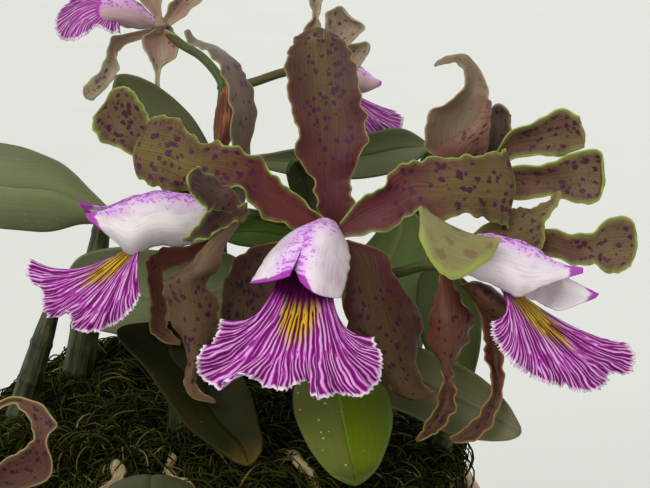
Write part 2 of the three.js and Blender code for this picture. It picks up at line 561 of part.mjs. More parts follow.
const BACK_LEFT_RIM = [
  [-51, 52.5, 53],
  [-54, 52.8, 51],
  [-57, 54, 53.5],
  [-60, 51.8, 51],
  [-64, 50.4, 53],
  [-66.8, 51.5, 53],
  [-67.8, 55.5, 55],
  [-66, 59, 57],
  [-63, 61.2, 60],
];
const BACK_LEFT_MIDDLE = [
  [-51.4, 55, 55.6],
  [-54.5, 56, 55],
  [-58.5, 56.2, 54],
  [-60, 58.2, 56],
  [-58.5, 60.5, 59],
  [-57.2, 62, 60.5],
];

const BACK_MIDDLE_BASE = [-1.4, 41.6, 48];
const BACK_MIDDLE_CORE = [1.2, 42, 47];
const BACK_MIDDLE_UPPER = [
  [[0.4, 43, 47], [1.4, 42.8, 48], [2.4, 42.4, 47]],
  [[0.2, 51, 47], [3.2, 50.5, 50], [6.2, 50.5, 47]],
  [[0.2, 57, 46], [5, 55, 50], [10.2, 54, 46]],
  [[4, 60.2, 46], [4.5, 59, 48], [6.8, 56, 46]],
];
const BACK_MIDDLE_LOWER = [
  [[2, 42.6, 45.5], [2.6, 42, 46.5], [3, 41, 46]],
  [[5, 49, 44], [6.8, 47, 47], [8.2, 44.5, 44]],
  [[10.8, 51, 43], [11.2, 49.5, 44], [11, 47.5, 43]],
];
const BACK_MIDDLE_STRAP = [
  [[-0.6, 43, 48.5], [0.2, 43, 49], [1, 43, 48.5]],
  [[-5.2, 53, 49], [-3.5, 53.5, 51], [-1.2, 54, 49]],
  [[-3, 57.2, 49], [-2.2, 57.5, 50], [-1.5, 57.2, 49]],
  [[-4.2, 61.5, 49], [-2.5, 62, 51], [-0.5, 61.8, 49]],
  [[-3.2, 66, 50], [-2, 66.5, 51], [-0.8, 66, 50]],
];
const BACK_MIDDLE_HOOD = [
  [[2.6, 42.6, 47], [2.8, 41.6, 46], [2.6, 40.6, 47]],
  [[8.2, 44.5, 47], [8.2, 41, 42], [8.2, 37.5, 46]],
  [[11.8, 42, 46], [11.2, 40, 43], [10.2, 38, 44]],
  [[14.2, 40.5, 44], [14, 40, 44], [13.8, 39.5, 44]],
];
const BACK_MIDDLE_THROAT = [[6.2, 38.5, 45.5], [5, 37, 46]];
const BACK_MIDDLE_RIM = [
  [17.8, 33, 46],
  [19.8, 31, 44],
  [18.8, 27.8, 41],
  [15, 27, 43],
  [11.8, 25.5, 40],
  [8.8, 26, 43],
  [6.2, 28.5, 42],
];
const BACK_MIDDLE_MIDDLE = [
  [11.8, 35.2, 42.5],
  [12.5, 32.8, 42],
  [10.5, 31.4, 41.5],
  [7.4, 32, 42.5],
  [4.8, 33.6, 44.5],
];

const CORNER_BASE = [-84.6, -60.4, -3.4];
const CORNER_CORE = [-86.6, -59.6, -7];
const CORNER_HOOK = [
  [[-85.8, -61, -7], [-85.2, -59.5, -6], [-85, -58, -7]],
  [[-76.2, -61.5, -8], [-76.8, -58, -7], [-78.8, -53, -8]],
  [[-68.2, -57.5, -9], [-70.8, -54.5, -8], [-75.2, -51.2, -9]],
  [[-69.5, -49.2, -9], [-71.2, -49, -8], [-73, -48.5, -9]],
  [[-67.2, -45, -8], [-70, -45, -7], [-73.2, -45.8, -8]],
  [[-70.2, -40.8, -7], [-72.2, -42, -6], [-75, -42.5, -7]],
  [[-76.2, -38.2, -5], [-76.8, -39.2, -4], [-77.5, -40, -5]],
  [[-81.8, -39.5, -4], [-82.2, -40.5, -3], [-82.2, -41.8, -4]],
  [[-85.2, -42, -4], [-85.5, -42.8, -4], [-85.2, -43.5, -4]],
];
const CORNER_LEFT = [
  [[-88.4, -58, -7], [-88.6, -59, -7], [-88.4, -60.4, -7]],
  [[-96.2, -50, -6], [-95.8, -54.5, -3], [-95.8, -59, -6]],
  [[-105, -46, -2], [-105, -51.5, 1], [-104.8, -57.5, -2]],
  [[-110.8, -48, 2], [-111.2, -51, 2], [-110.8, -54.5, 2]],
];
const CORNER_DOWN = [
  [[-88.2, -61, -9], [-87.2, -61.4, -8], [-86, -61, -9]],
  [[-95.8, -68, -16], [-90.8, -68.5, -13], [-85.8, -67.5, -16]],
  [[-96.8, -76.5, -18], [-91.8, -77, -15], [-86.8, -76, -18]],
  [[-93.8, -85.5, -16], [-92.2, -86.5, -15], [-90.2, -85.5, -16]],
];
const CORNER_LIP_SHIFT = [-86.5, -64, -14];

// Leaves, as ribs from the foot to the tip.
const LEAVES = {
  leaf_far_left: { colour: "leafGrey", ribs: [
    [[-53.2, 8, 49], [-53.4, 6.5, 48], [-53.8, 5, 49]],
    [[-58.8, 13.5, 49], [-59.2, 9.5, 46], [-60.8, 5, 48]],
    [[-65.8, 20, 48], [-67.5, 13, 44], [-69.2, 3.2, 47]],
    [[-76.2, 24.2, 46], [-78.8, 14, 42], [-81.2, 4, 46]],
    [[-86.2, 25.5, 45], [-87.5, 15.2, 42], [-89.2, 5.5, 45]],
    [[-96.2, 24.5, 45], [-96.8, 17.2, 43], [-97.2, 9.8, 45]],
    [[-103.2, 20, 45], [-103.8, 18, 45], [-103.8, 16, 45]],
  ] },
  leaf_back_left: { colour: "leafDark", ribs: [
    [[-25.8, 4.8, 41], [-27.2, 4, 42], [-28.4, 3.5, 41]],
    [[-27.2, 19.8, 40], [-31.8, 16, 43], [-36.8, 12, 40]],
    [[-32.5, 30.5, 39], [-38.2, 25.5, 42], [-44.2, 21, 39]],
    [[-39.8, 38, 38], [-45, 33, 41], [-50.2, 28, 38]],
    [[-46.2, 41.5, 37], [-50.2, 38, 39], [-53.2, 34.5, 37]],
    [[-50.8, 42.8, 37], [-52, 42, 37], [-53, 40, 37]],
  ] },
  leaf_behind_middle: { colour: "leafGrey", ribs: [
    [[25.8, 25.4, 34], [26.2, 24.2, 34], [25.8, 23, 34]],
    [[18.8, 28.8, 32], [19.2, 24, 35], [19.8, 19, 32]],
    [[8.8, 27, 31], [9.2, 22, 34], [9.8, 16.5, 31]],
    [[-1.2, 25, 31], [-1.2, 21, 34], [-1.2, 16.5, 31]],
    [[-11.2, 23, 31], [-11.2, 20.5, 33], [-11.2, 18, 31]],
    [[-18.8, 22, 32], [-19.2, 21, 32], [-18.8, 19.8, 32]],
  ] },
  leaf_beside_dorsal: { colour: "leafDark", ribs: [
    [[-2.6, 2.6, 29], [-3.4, 2.2, 30], [-4.2, 2.2, 29]],
    [[-1.2, 13.5, 29], [-4.2, 12.2, 31], [-7.8, 11, 29]],
    [[-3.2, 19.5, 27], [-6.2, 18.5, 29], [-9.2, 16, 27]],
    [[-6.2, 21.5, 26], [-8.2, 20.5, 26], [-9.8, 18.5, 26]],
  ] },
  leaf_short_left: { colour: "leafBright", ribs: [
    [[-5.2, 2, 26], [-5.2, 0.8, 27], [-5.2, -0.5, 26]],
    [[-10, 5.5, 25], [-9.8, 2, 27], [-10.2, -1, 25]],
    [[-16.2, 7, 24], [-16.8, 3, 26], [-17.2, -0.8, 24]],
    [[-21.8, 5.5, 24], [-22.2, 2.8, 26], [-22.2, 0, 24]],
    [[-25.8, 3, 25], [-26.2, 2, 25], [-25.8, 1, 25]],
  ] },
  leaf_behind_left_bloom: { colour: "leafGrey", ribs: [
    [[-66.2, -11, 32], [-66.6, -12.4, 32], [-66.2, -14, 32]],
    [[-61.5, -3.5, 30], [-62, -11.5, 33], [-62.5, -19.5, 30]],
    [[-51.2, -0.8, 29], [-51.8, -11.5, 33], [-52.2, -22.5, 29]],
    [[-41.2, -1.8, 29], [-41.2, -13, 33], [-41.2, -24.5, 29]],
    [[-31.2, -1.5, 31], [-31.2, -12, 34], [-31.8, -24.5, 31]],
    [[-23.2, -3, 31.5], [-23, -10, 34], [-23.4, -18.5, 31.5]],
    [[-18.5, -7.5, 33], [-18.2, -9.5, 33.5], [-18.8, -11.5, 33]],
  ] },
  leaf_front_down: { colour: "leafDark", ribs: [
    [[-36, -19, 9], [-34, -19.4, 9.5], [-32, -19.8, 9]],
    [[-51.8, -21.5, 4], [-38.8, -26.5, 7], [-25, -26.5, 4]],
    [[-44.2, -32, 0], [-32.5, -35, 3.5], [-20.5, -33.5, 0]],
    [[-34.2, -45.8, -5], [-25.8, -45, -2], [-17.5, -42, -5]],
    [[-26.2, -52, -8], [-20.8, -50.5, -6], [-15.8, -48.5, -8]],
    [[-21.2, -55.5, -9], [-18.8, -55.5, -9], [-15.8, -53.5, -9]],
  ] },
  leaf_front_bright: { colour: "leafBright", ribs: [
    [[1, -28.6, 11], [2.8, -28.4, 11.5], [4.6, -28.6, 11]],
    [[-7.2, -35.2, 3], [3.2, -34, 5], [14.2, -35.2, 3]],
    [[-7.8, -41.5, -5], [4.2, -42, -3], [16.8, -41.5, -5]],
    [[-4.8, -49, -11], [5.8, -50, -9], [16.2, -47.5, -11]],
    [[0.2, -56.5, -16], [7.2, -56.5, -15], [13.8, -54.5, -16]],
    [[3.8, -59, -18], [7.5, -60, -18], [10.8, -58.5, -18]],
  ] },
  leaf_right: { colour: "leafGrey", ribs: [
    [[11.8, -28.4, 18], [12.2, -29.8, 18.5], [11.8, -31.2, 18]],
    [[18.8, -25.2, 14], [17.8, -32.5, 17], [14.8, -39.5, 13]],
    [[28.8, -28, 12], [26.2, -35.5, 15.5], [21.8, -43, 12]],
    [[38.2, -33, 10.5], [35.2, -40, 14], [31.8, -47.5, 10.5]],
    [[45.2, -39.5, 9.5], [43.2, -44, 11], [40.2, -49.2, 9.5]],
    [[49, -46, 8], [48.8, -47.5, 8], [47.2, -49, 8]],
  ] },
  leaf_upright_right: { colour: "leafDark", ribs: [
    [[33.8, -35.2, 26], [35.2, -35.6, 26.5], [36.6, -35.2, 26]],
    [[25.5, -26.5, 24.5], [32.5, -27.5, 28], [38.5, -26.5, 25]],
    [[23.2, -17, 22.5], [31.5, -17, 26], [38.8, -17, 23]],
    [[23.4, -9.5, 20.5], [29.5, -9, 23.5], [35.8, -10.5, 21]],
    [[25.8, -4.5, 20], [27.8, -3.8, 20], [30.2, -4.8, 20]],
  ] },
  leaf_behind_right: { colour: "leafMid", ribs: [
    [[16.4, -24, 33.5], [17.8, -24.5, 34], [19.2, -24, 33.5]],
    [[6.2, -19.5, 31], [15, -18.5, 34], [23.8, -16, 31]],
    [[4.6, -8, 29.5], [15, -7, 32.5], [25.2, -6, 29]],
    [[13.2, 3, 28], [18.8, 3.5, 31], [24.8, 3.5, 28]],
    [[16.8, 8.5, 27], [19.2, 9.5, 28], [22.2, 8.5, 27]],
  ] },
  leaf_over_rim: { colour: "leafDark", ribs: [
    [[-44, -65.5, -12], [-43.2, -65.5, -12], [-42.4, -65.5, -12]],
    [[-45.2, -61, -17], [-43.2, -60.6, -16], [-41, -61, -17]],
    [[-52.2, -59.8, -25], [-43.4, -58.4, -26], [-34.2, -59.8, -25]],
    [[-55.2, -66.5, -40], [-43.8, -66, -42], [-31.8, -66.5, -40]],
    [[-53.2, -76.2, -50], [-43.8, -77, -50], [-34.2, -76.2, -50]],
    [[-46.2, -85, -53], [-43.8, -86, -53], [-41.2, -85, -53]],
  ] },
};

// Pseudobulbs, by the stretch of creeping rootstock that they rise from: the top as seen, the foot on
// the ground plan of the pot, and the widest radius.
const BULBS = {
  pseudobulbs_left: [
    { top: [-55.4, 6.4, 49], foot: [-42, 6], radius: 4.2 },
    { top: [-67, -12.6, 32.4], foot: [-57, -14], radius: 3.4 },
  ],
  pseudobulbs_back: [
    { top: [-27, 3.6, 42], foot: [0, 12], radius: 4.6 },
    { top: [-3.6, 1.4, 28], foot: [26, 8], radius: 4.6 },
    { top: [26.6, 23.8, 35.6], foot: [52, 20], radius: 4.4 },
  ],
  pseudobulbs_right: [
    { top: [17.8, -25, 34.4], foot: [44, -2], radius: 4 },
    { top: [35.2, -36.2, 26.6], foot: [56, -14], radius: 3.6 },
  ],
  pseudobulbs_front: [
    { top: [-34, -19, 10.4], foot: [-6, -26], radius: 4.4 },
    { top: [2.8, -28, 12.4], foot: [28, -32], radius: 4 },
    { top: [11.4, -29.6, 18], foot: [38, -22], radius: 4 },
  ],
};
const ROOTSTOCK_RADIUS = 3;
const BULB_FOOT_HEIGHT = 94;

// Flower stems: each runs to the base of its bloom, where it swells.
const STEMS = {
  flower_stem_back: { radius: 1.6, runs: [
    [[-26.6, 3, 41.6], [-25.8, 12, 43], [-26, 25, 44], [-26, 34, 46], [-25.8, 40, 48], [-30.5, 46.5, 53],
      [-36, 50, 57], BACK_LEFT_BASE],
    [[-25.8, 37, 47], [-22, 39.4, 47], [-18, 40.4, 46], [-9.8, 43, 45], [-4, 43.4, 46], BACK_MIDDLE_BASE],
  ] },
  flower_stem_front: { radius: 1.7, runs: [
    [[-3.2, 1, 27.4], [0, 2, 23], [1.6, 2.8, 16], MIDDLE_BASE],
    [[0, 2, 23], [-6, 4.6, 20], [-14, 6.6, 14], [-18.6, 7.6, 8], LEFT_BASE],
    [[0, 2, 23], [7, -5, 23], [16, -7.4, 19], [25, -5.4, 12], RIGHT_BASE],
    [[0, 2, 23], [12, 6, 26], [26, 12, 26], BACK_RIGHT_BASE],
  ] },
};
const CORNER_STEM_FOOT = new THREE.Vector3(-44, -38, 96);

const COLOURS = {
  clay: [0xa4623f, 0.85],
  mix: [0x3b2a1c, 0.95],
  moss: [0x3f4522, 0.95],
  bulb: [0x5d6b3a, 0.55],
  stem: [0x64783c, 0.5],
  leafGrey: [0x6f7d55, 0.45],
  leafDark: [0x3e4a2a, 0.45],
  leafMid: [0x5c7a40, 0.45],
  leafBright: [0x77933a, 0.45],
  tepal: [0x6b3a30, 0.45],
  petal: [0x8a6238, 0.45],
  hood: [0xe6d6e4, 0.5],
  lip: [0xa33aa8, 0.55],
  column: [0xc9a5cf, 0.5],
};
const MATERIALS = Object.fromEntries(Object.entries(COLOURS).map(([name, [color, roughness]]) => {
  return [name, new THREE.MeshStandardMaterial({ color, roughness, metalness: 0 })];
}));

// Each piece is made twice: as it is, and grown by the gap, which later pieces are cut back to.
const pieces = [];

function addPiece(name, colour, make) {
  const grown = make(GAP);
  const box = grown.boundingBox();
  let solid = make(0);
  for (const other of pieces) {
    const apart = [0, 1, 2].some((axis) => {
      return box.min[axis] > other.box.max[axis] || box.max[axis] < other.box.min[axis];
    });
    if (!apart) solid = solid.subtract(other.grown);
  }
  const parts = solid.decompose().sort((a, b) => b.volume() - a.volume());
  pieces.push({ name, colour, grown, box, solid: parts[0].simplify(FLATNESS) });
}

function together(solids) {
  return solids.reduce((all, next) => all.add(next));
}

function bladePiece(name, colour, ribSets, options = {}, core = null) {
  addPiece(name, colour, (grow) => {
    const heart = core ? [ballAt(seen(core), CORE_RADIUS, grow)] : [];
    return together([...heart, ...ribSets.map((ribs) => blade(railsOf(ribs), options, grow))]);
  });
}

// The frilled middle lobe of a lip: a fan from the throat line, over a middle line, to the rim.
function frillPiece(name, rails, options = {}) {
  const shape = { along: 2 * (rails[2].length - 1), across: 2, thickness: LIP_THICKNESS, ...options };
  addPiece(name, "lip", (grow) => blade(rails, shape, grow));
}

function column(places, grow) {
  return stem(places.map(seen), [1.6, 1.9, 2.2, 2.3, 1.2], 6, 5, grow);
}

// A lip's two side lobes, wrapped round the column and grown together with it at their foot.
function hoodPiece(name, lobes, columnPlaces = null) {
  const shape = { along: 6, across: 3, thickness: LIP_THICKNESS };
  addPiece(name, "hood", (grow) => {
    const inner = columnPlaces ? [column(columnPlaces, grow)] : [];
    return together([...lobes.map((ribs) => blade(railsOf(ribs), shape, grow)), ...inner]);
  });
}

function shifted(points, shift) {
  return points.map((point) => point.map((value, axis) => value + shift[axis]));
}

function pot() {
  const inner = POT_TOP_RADIUS - POT_WALL;
  const rimFoot = POT_HEIGHT - RIM_HEIGHT;
  const body = lathe([
    [0, 0],
    [POT_BASE_RADIUS - 2, 0],
    [POT_BASE_RADIUS, 2],
    [POT_TOP_RADIUS - RIM_STEP - 1, rimFoot],
    [POT_TOP_RADIUS - 1, rimFoot + 1],
    [POT_TOP_RADIUS, rimFoot + 4],
    [POT_TOP_RADIUS, POT_HEIGHT - 2],
    [POT_TOP_RADIUS - 2, POT_HEIGHT],
    [inner + 1, POT_HEIGHT],
    [inner, POT_HEIGHT - 1],
    [inner - 1, rimFoot],
    [POT_BASE_RADIUS - POT_WALL, POT_FLOOR],
    [0, POT_FLOOR],
  ], POT_SIDES);
  const hole = lathe([[0, -1], [DRAIN_RADIUS, -1], [DRAIN_RADIUS, POT_FLOOR + 1], [0, POT_FLOOR + 1]], 8);
  const holes = [0, 1, 2].map((k) => {
    const angle = (2 * Math.PI * k) / 3 + 0.5;
    return hole.translate([DRAIN_RING * Math.cos(angle), DRAIN_RING * Math.sin(angle), 0]);
  });
  return body.subtract(together(holes));
}

function pottingMix() {
  const wall = POT_WALL + GAP + 1.2;
  return lathe([
    [0, POT_FLOOR + GAP],
    [POT_BASE_RADIUS - wall, POT_FLOOR + GAP],
    [POT_TOP_RADIUS - wall - 1, POT_HEIGHT - RIM_HEIGHT],
    [POT_TOP_RADIUS - wall, MIX_TOP],
    [0, MIX_TOP],
  ], 24);
}

// The height of the moss over the middle of the pot, with its lumps.
function mossHeight(x, y) {
  const reach = Math.hypot(x, y) / MOSS_RADIUS;
  const dome = MOSS_SHOULDER + MOSS_DOME * (1 - reach ** 3);
  const [humpX, humpY] = MOSS_HUMP_PLACE;
  const hump = MOSS_HUMP * Math.exp(-((x - humpX) ** 2 + (y - humpY) ** 2) / 700);
  const lumps = 1.5 * Math.sin(0.17 * x + 0.8) * Math.cos(0.21 * y) + 0.9 * Math.sin(0.33 * x - 0.27 * y);
  return dome + hump + lumps;
}

function mossCushion() {
  const around = 28;
  const reaches = [0.24, 0.48, 0.7, 0.86, 0.96];
  const points = [new THREE.Vector3(0, 0, mossHeight(0, 0))];
  const ring = (radius, heightAt) => {
    for (let k = 0; k < around; k += 1) {
      const angle = (2 * Math.PI * k) / around;
      const swell = 1 + 0.012 * Math.sin(7 * angle) + 0.01 * Math.cos(11 * angle);
      const x = radius * Math.cos(angle);
      const y = radius * Math.sin(angle);
      const scale = heightAt < 0 ? swell : 1;
      points.push(new THREE.Vector3(x * scale, y * scale, heightAt < 0 ? mossHeight(x, y) : heightAt));
    }
  };
  reaches.forEach((reach) => ring(reach * (MOSS_RADIUS - 2), -1));
  ring(MOSS_RADIUS, MOSS_EDGE_HEIGHT);
  ring(MOSS_RADIUS, POT_HEIGHT - 3);
  ring(MOSS_RADIUS - 4, MIX_TOP + GAP);
  points.push(new THREE.Vector3(0, 0, MIX_TOP + GAP));
  const rings = reaches.length + 3;
  const faces = [];
  for (let k = 0; k < around; k += 1) {
    const next = (k + 1) % around;
    faces.push([0, 1 + k, 1 + next]);
    for (let i = 0; i < rings - 1; i += 1) {
      const a = 1 + i * around;
      const b = a + around;
      faces.push([a + k, b + k, b + next], [a + k, b + next, a + next]);
    }
    const last = 1 + (rings - 1) * around;
    faces.push([last + k, points.length - 1, last + next]);
  }
  return solidFrom(points, faces);
}

function swollen(run, radius, grow) {
  const slim = Array(run.length - 1).fill(radius);
  return stem(run.map(seen), [...slim, radius * 1.4], 5, 2 * run.length - 3, grow);
}

function flowerStem(name, { radius, runs }) {
  addPiece(name, "stem", (grow) => {
    const ends = runs.map((run) => ballAt(seen(run.at(-1)), CORE_RADIUS, grow));
    return together([...runs.map((run) => swollen(run, radius, grow)), ...ends]);
  });
}

function ballAt(place, radius, grow) {
  const rings = 4;
  const profile = Array.from({ length: rings + 1 }, (_, i) => {
    const angle = (Math.PI * i) / rings;
    const size = radius + grow;
    return [i === 0 || i === rings ? 0 : size * Math.sin(angle), -size * Math.cos(angle)];
  });
  return lathe(profile, 6).translate([place.x, place.y, place.z]);
}

function pseudobulbs(name, bulbs) {
  addPiece(name, "bulb", (grow) => {
    const feet = bulbs.map(({ foot }) => new THREE.Vector3(foot[0], foot[1], BULB_FOOT_HEIGHT));
    const rootstock = stem(feet, [ROOTSTOCK_RADIUS, ROOTSTOCK_RADIUS], 4, feet.length - 1, grow);
    const canes = bulbs.map(({ top, radius }, i) => {
      const head = seen(top);
      const swell = [0.6, 0.75, 1, 0.95, 0.8, 0.5].map((share) => share * radius);
      return stem([feet[i], feet[i].clone().lerp(head, 0.5), head], swell, 6, 4, grow);
    });
    return together([rootstock, ...canes]);
  });
}

function middleBloom() {
  addPiece("middle_bloom_column", "column", (grow) => column(MIDDLE_COLUMN, grow));
  hoodPiece("middle_bloom_lip_hood", [MIDDLE_LIP_LEFT_LOBE, MIDDLE_LIP_RIGHT_LOBE]);
  frillPiece("middle_bloom_lip_frill", [MIDDLE_LIP_THROAT, MIDDLE_LIP_MIDDLE, MIDDLE_LIP_RIM]);
  bladePiece("middle_bloom_left_petal", "petal", [MIDDLE_LEFT_PETAL], { along: 13, wave: 0.8, waves: 5 });
  bladePiece("middle_bloom_right_petal", "petal", [MIDDLE_RIGHT_PETAL], { along: 13, wave: 0.8, waves: 4 });
  bladePiece("middle_bloom_right_sepal", "tepal", [MIDDLE_RIGHT_SEPAL], { along: 12, wave: 0.4, waves: 4 });
  bladePiece("middle_bloom_left_sepal", "tepal", [MIDDLE_LEFT_SEPAL]);
  bladePiece("middle_bloom_dorsal_sepal", "tepal", [MIDDLE_DORSAL], { along: 13, wave: 0.8, waves: 4 });
}

function leftBloom() {
  hoodPiece("left_bloom_lip_hood", [LEFT_LIP_NEAR_LOBE, LEFT_LIP_FAR_LOBE], LEFT_COLUMN);
  frillPiece("left_bloom_lip_frill", [LEFT_LIP_THROAT, LEFT_LIP_MIDDLE, LEFT_LIP_RIM]);
  bladePiece("left_bloom_near_petal", "petal", [LEFT_NEAR_PETAL_UPPER, LEFT_NEAR_PETAL_LOWER], { along: 6 });
  bladePiece("left_bloom_near_sepal", "tepal", [LEFT_NEAR_SEPAL], { along: 11 });
  bladePiece("left_bloom_far_sepal", "tepal", [LEFT_FAR_SEPAL], { along: 11, across: 3 });
  bladePiece("left_bloom_dorsal_sepal", "tepal", [LEFT_DORSAL]);
  bladePiece("left_bloom_far_petal", "petal", [LEFT_FAR_PETAL], { wave: 0.5, waves: 4 });
}

function rightBloom() {
  hoodPiece("right_bloom_lip_hood", [RIGHT_LIP_NEAR_LOBE, RIGHT_LIP_FAR_LOBE], RIGHT_COLUMN);
  frillPiece("right_bloom_lip_frill", [RIGHT_LIP_THROAT, RIGHT_LIP_MIDDLE, RIGHT_LIP_RIM]);
  bladePiece("right_bloom_near_petal", "petal", [RIGHT_NEAR_PETAL], { along: 7, across: 6 });
  bladePiece("right_bloom_near_sepal", "tepal", [RIGHT_NEAR_SEPAL]);
  bladePiece("right_bloom_far_sepal", "tepal", [RIGHT_FAR_SEPAL, RIGHT_FAR_SEPAL_FOLD],
    { along: 8, across: 3 });
  bladePiece("right_bloom_dorsal_sepal", "tepal", [RIGHT_DORSAL], { along: 8 });
  bladePiece("right_bloom_far_petal", "petal", [RIGHT_FAR_PETAL], { wave: 0.4, waves: 3 });
}

function backBlooms() {
  bladePiece("back_right_bloom_curled_sepal", "tepal", [BACK_RIGHT_CURL]);
  bladePiece("back_right_bloom_upper_petal", "petal", [BACK_RIGHT_UPPER], { along: 8 });
  bladePiece("back_right_bloom_lower_petal", "petal", [BACK_RIGHT_LOWER], { along: 9 });
  bladePiece("back_right_bloom_strap_sepal", "tepal", [BACK_RIGHT_STRAP], { along: 5, across: 3 });
  bladePiece("back_left_bloom_tepals", "tepal",
    [BACK_LEFT_HANGING, BACK_LEFT_DROOPING, BACK_LEFT_RISING, BACK_LEFT_DORSAL], { along: 5, across: 2 },
    BACK_LEFT_CORE);
  bladePiece("back_left_bloom_hood", "hood", [BACK_LEFT_HOOD],
    { along: 4, across: 3, thickness: LIP_THICKNESS });
  frillPiece("back_left_bloom_frill", [BACK_LEFT_THROAT, BACK_LEFT_MIDDLE, BACK_LEFT_RIM]);
  bladePiece("back_middle_bloom_tepals", "tepal",
    [BACK_MIDDLE_UPPER, BACK_MIDDLE_LOWER, BACK_MIDDLE_STRAP], { along: 5, across: 2 }, BACK_MIDDLE_CORE);
  bladePiece("back_middle_bloom_hood", "hood", [BACK_MIDDLE_HOOD],
    { along: 4, across: 3, thickness: LIP_THICKNESS });
  frillPiece("back_middle_bloom_frill", [BACK_MIDDLE_THROAT, BACK_MIDDLE_MIDDLE, BACK_MIDDLE_RIM]);
}

function cornerBloom() {
  const lobes = [MIDDLE_LIP_LEFT_LOBE, MIDDLE_LIP_RIGHT_LOBE].map((ribs) => {
    return ribs.map((rib) => shifted(rib, CORNER_LIP_SHIFT));
  });
  bladePiece("corner_bloom_tepals", "tepal", [CORNER_HOOK, CORNER_LEFT, CORNER_DOWN],
    { along: 8, across: 2 }, CORNER_CORE);
  hoodPiece("corner_bloom_hood", lobes);
  frillPiece("corner_bloom_frill", [MIDDLE_LIP_THROAT, MIDDLE_LIP_MIDDLE, MIDDLE_LIP_RIM].map((places) => {
    return shifted(places, CORNER_LIP_SHIFT);
  }));
}

addPiece("pot", "clay", pot);
addPiece("potting_mix", "mix", pottingMix);
Object.entries(STEMS).forEach(([name, data]) => flowerStem(name, data));
addPiece("flower_stem_corner", "stem", (grow) => {
  const end = seen(CORNER_BASE);
  const bend = CORNER_STEM_FOOT.clone().lerp(end, 0.5).add(new THREE.Vector3(0, 0, 8));
  const stalk = stem([CORNER_STEM_FOOT, bend, end], [1.6, 1.6, 2.6], 6, 6, grow);
  return together([stalk, ballAt(end, CORE_RADIUS, grow)]);
});
Object.entries(BULBS).forEach(([name, bulbs]) => pseudobulbs(name, bulbs));
middleBloom();
leftBloom();
rightBloom();
backBlooms();
cornerBloom();
Object.entries(LEAVES).forEach(([name, { colour, ribs }]) => {
  bladePiece(name, colour, [ribs], { along: 7, thickness: LEAF_THICKNESS });
});
addPiece("moss", "moss", mossCushion);

// The finished scene graph: one named mesh for each piece.
function meshOf({ name, colour, solid }) {
  const { numProp, vertProperties, triVerts } = solid.getMesh();
  const geometry = new THREE.BufferGeometry();
  const positions = new Float32Array((vertProperties.length / numProp) * 3);
  for (let i = 0; i < positions.length / 3; i += 1) {
    positions.set(vertProperties.slice(i * numProp, i * numProp + 3), 3 * i);
  }
  geometry.setAttribute("position", new THREE.BufferAttribute(positions, 3));
  geometry.setIndex(new THREE.BufferAttribute(new Uint32Array(triVerts), 1));
  geometry.computeVertexNormals();
  const mesh = new THREE.Mesh(geometry, MATERIALS[colour]);
  mesh.name = name;
  return mesh;
}

const orchid = new THREE.Group();
pieces.forEach((piece) => orchid.add(meshOf(piece)));

export default orchid;
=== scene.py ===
# A potted Cattleya schilleriana orchid: fine petals, frills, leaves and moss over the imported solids.
import math

import bpy
import mathutils
import numpy as np
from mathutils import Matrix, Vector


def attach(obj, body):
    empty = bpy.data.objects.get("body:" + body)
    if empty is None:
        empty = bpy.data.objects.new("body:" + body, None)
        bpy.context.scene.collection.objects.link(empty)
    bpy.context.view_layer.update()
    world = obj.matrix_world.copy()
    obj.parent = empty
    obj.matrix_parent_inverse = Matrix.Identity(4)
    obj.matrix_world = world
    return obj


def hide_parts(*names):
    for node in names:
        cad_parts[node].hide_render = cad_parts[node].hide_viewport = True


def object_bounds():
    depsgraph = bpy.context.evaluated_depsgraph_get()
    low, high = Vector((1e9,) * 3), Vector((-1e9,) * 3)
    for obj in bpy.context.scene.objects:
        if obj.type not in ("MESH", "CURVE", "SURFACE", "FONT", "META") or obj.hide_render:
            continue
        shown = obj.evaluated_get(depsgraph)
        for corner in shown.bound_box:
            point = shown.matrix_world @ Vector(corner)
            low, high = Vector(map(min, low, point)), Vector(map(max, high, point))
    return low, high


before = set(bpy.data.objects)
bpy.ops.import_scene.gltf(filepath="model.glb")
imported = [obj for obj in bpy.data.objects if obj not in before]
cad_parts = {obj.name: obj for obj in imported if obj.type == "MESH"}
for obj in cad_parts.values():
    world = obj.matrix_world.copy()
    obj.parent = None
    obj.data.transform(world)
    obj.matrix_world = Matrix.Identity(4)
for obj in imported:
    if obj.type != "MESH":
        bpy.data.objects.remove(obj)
cad_box = [list(corner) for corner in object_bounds()]

# Sizes in millimetres, as in the part's source.
MM = 0.001
VIEW_POINT = (32, -32, 166)
VIEW_DISTANCE = 400
VIEW_TILT = math.radians(12)
POT_HEIGHT = 88
POT_TOP_RADIUS = 77
POT_BASE_RADIUS = 54
POT_WALL = 5
RIM_HEIGHT = 16
RIM_STEP = 3
POT_FLOOR = 7
MIX_TOP = 80
MOSS_RADIUS = 71
TEPAL_THICKNESS = 0.8
LIP_THICKNESS = 0.7
LEAF_THICKNESS = 1.5
SHEATH_THICKNESS = 0.5
BULB_FOOT_HEIGHT = 94
CORNER_STEM_FOOT = (-44, -38, 96)
MOSS_EDGE_HEIGHT = 99.5
MOSS_DOME_FOOT = 102
MOSS_DOME_RISE = 14

# The hump in the moss: its place right and back of the pot's middle, its rise, and its spread, squared.
MOSS_HUMP = (-34, 28, 9)
MOSS_HUMP_SPREAD = 700

# How far inside the box of the solids every point stays, in metres.
BOX_MARGIN = 0.00001

# A leaf's groove as a share of its half width, and a tepal's rounded end as a share of its length.
GROOVE_SHARE = 0.09
ROUNDED_SHARE = 0.25
TEPAL_ROUGHNESS = 0.42

# The fans' fine crimps: their depth, their number, and the fan's width in its own pattern.
CRIMP = 0.3
CRIMPS = 44
FAN_SPREAD = 90

# The photograph's view: its width and focal length in pixels, 4 pixels to 1 mm at the middle bloom, and
# the width of the camera's sensor in millimetres.
PHOTO_WIDTH = 650
FOCAL_PIXELS = 1600
SENSOR_WIDTH = 36

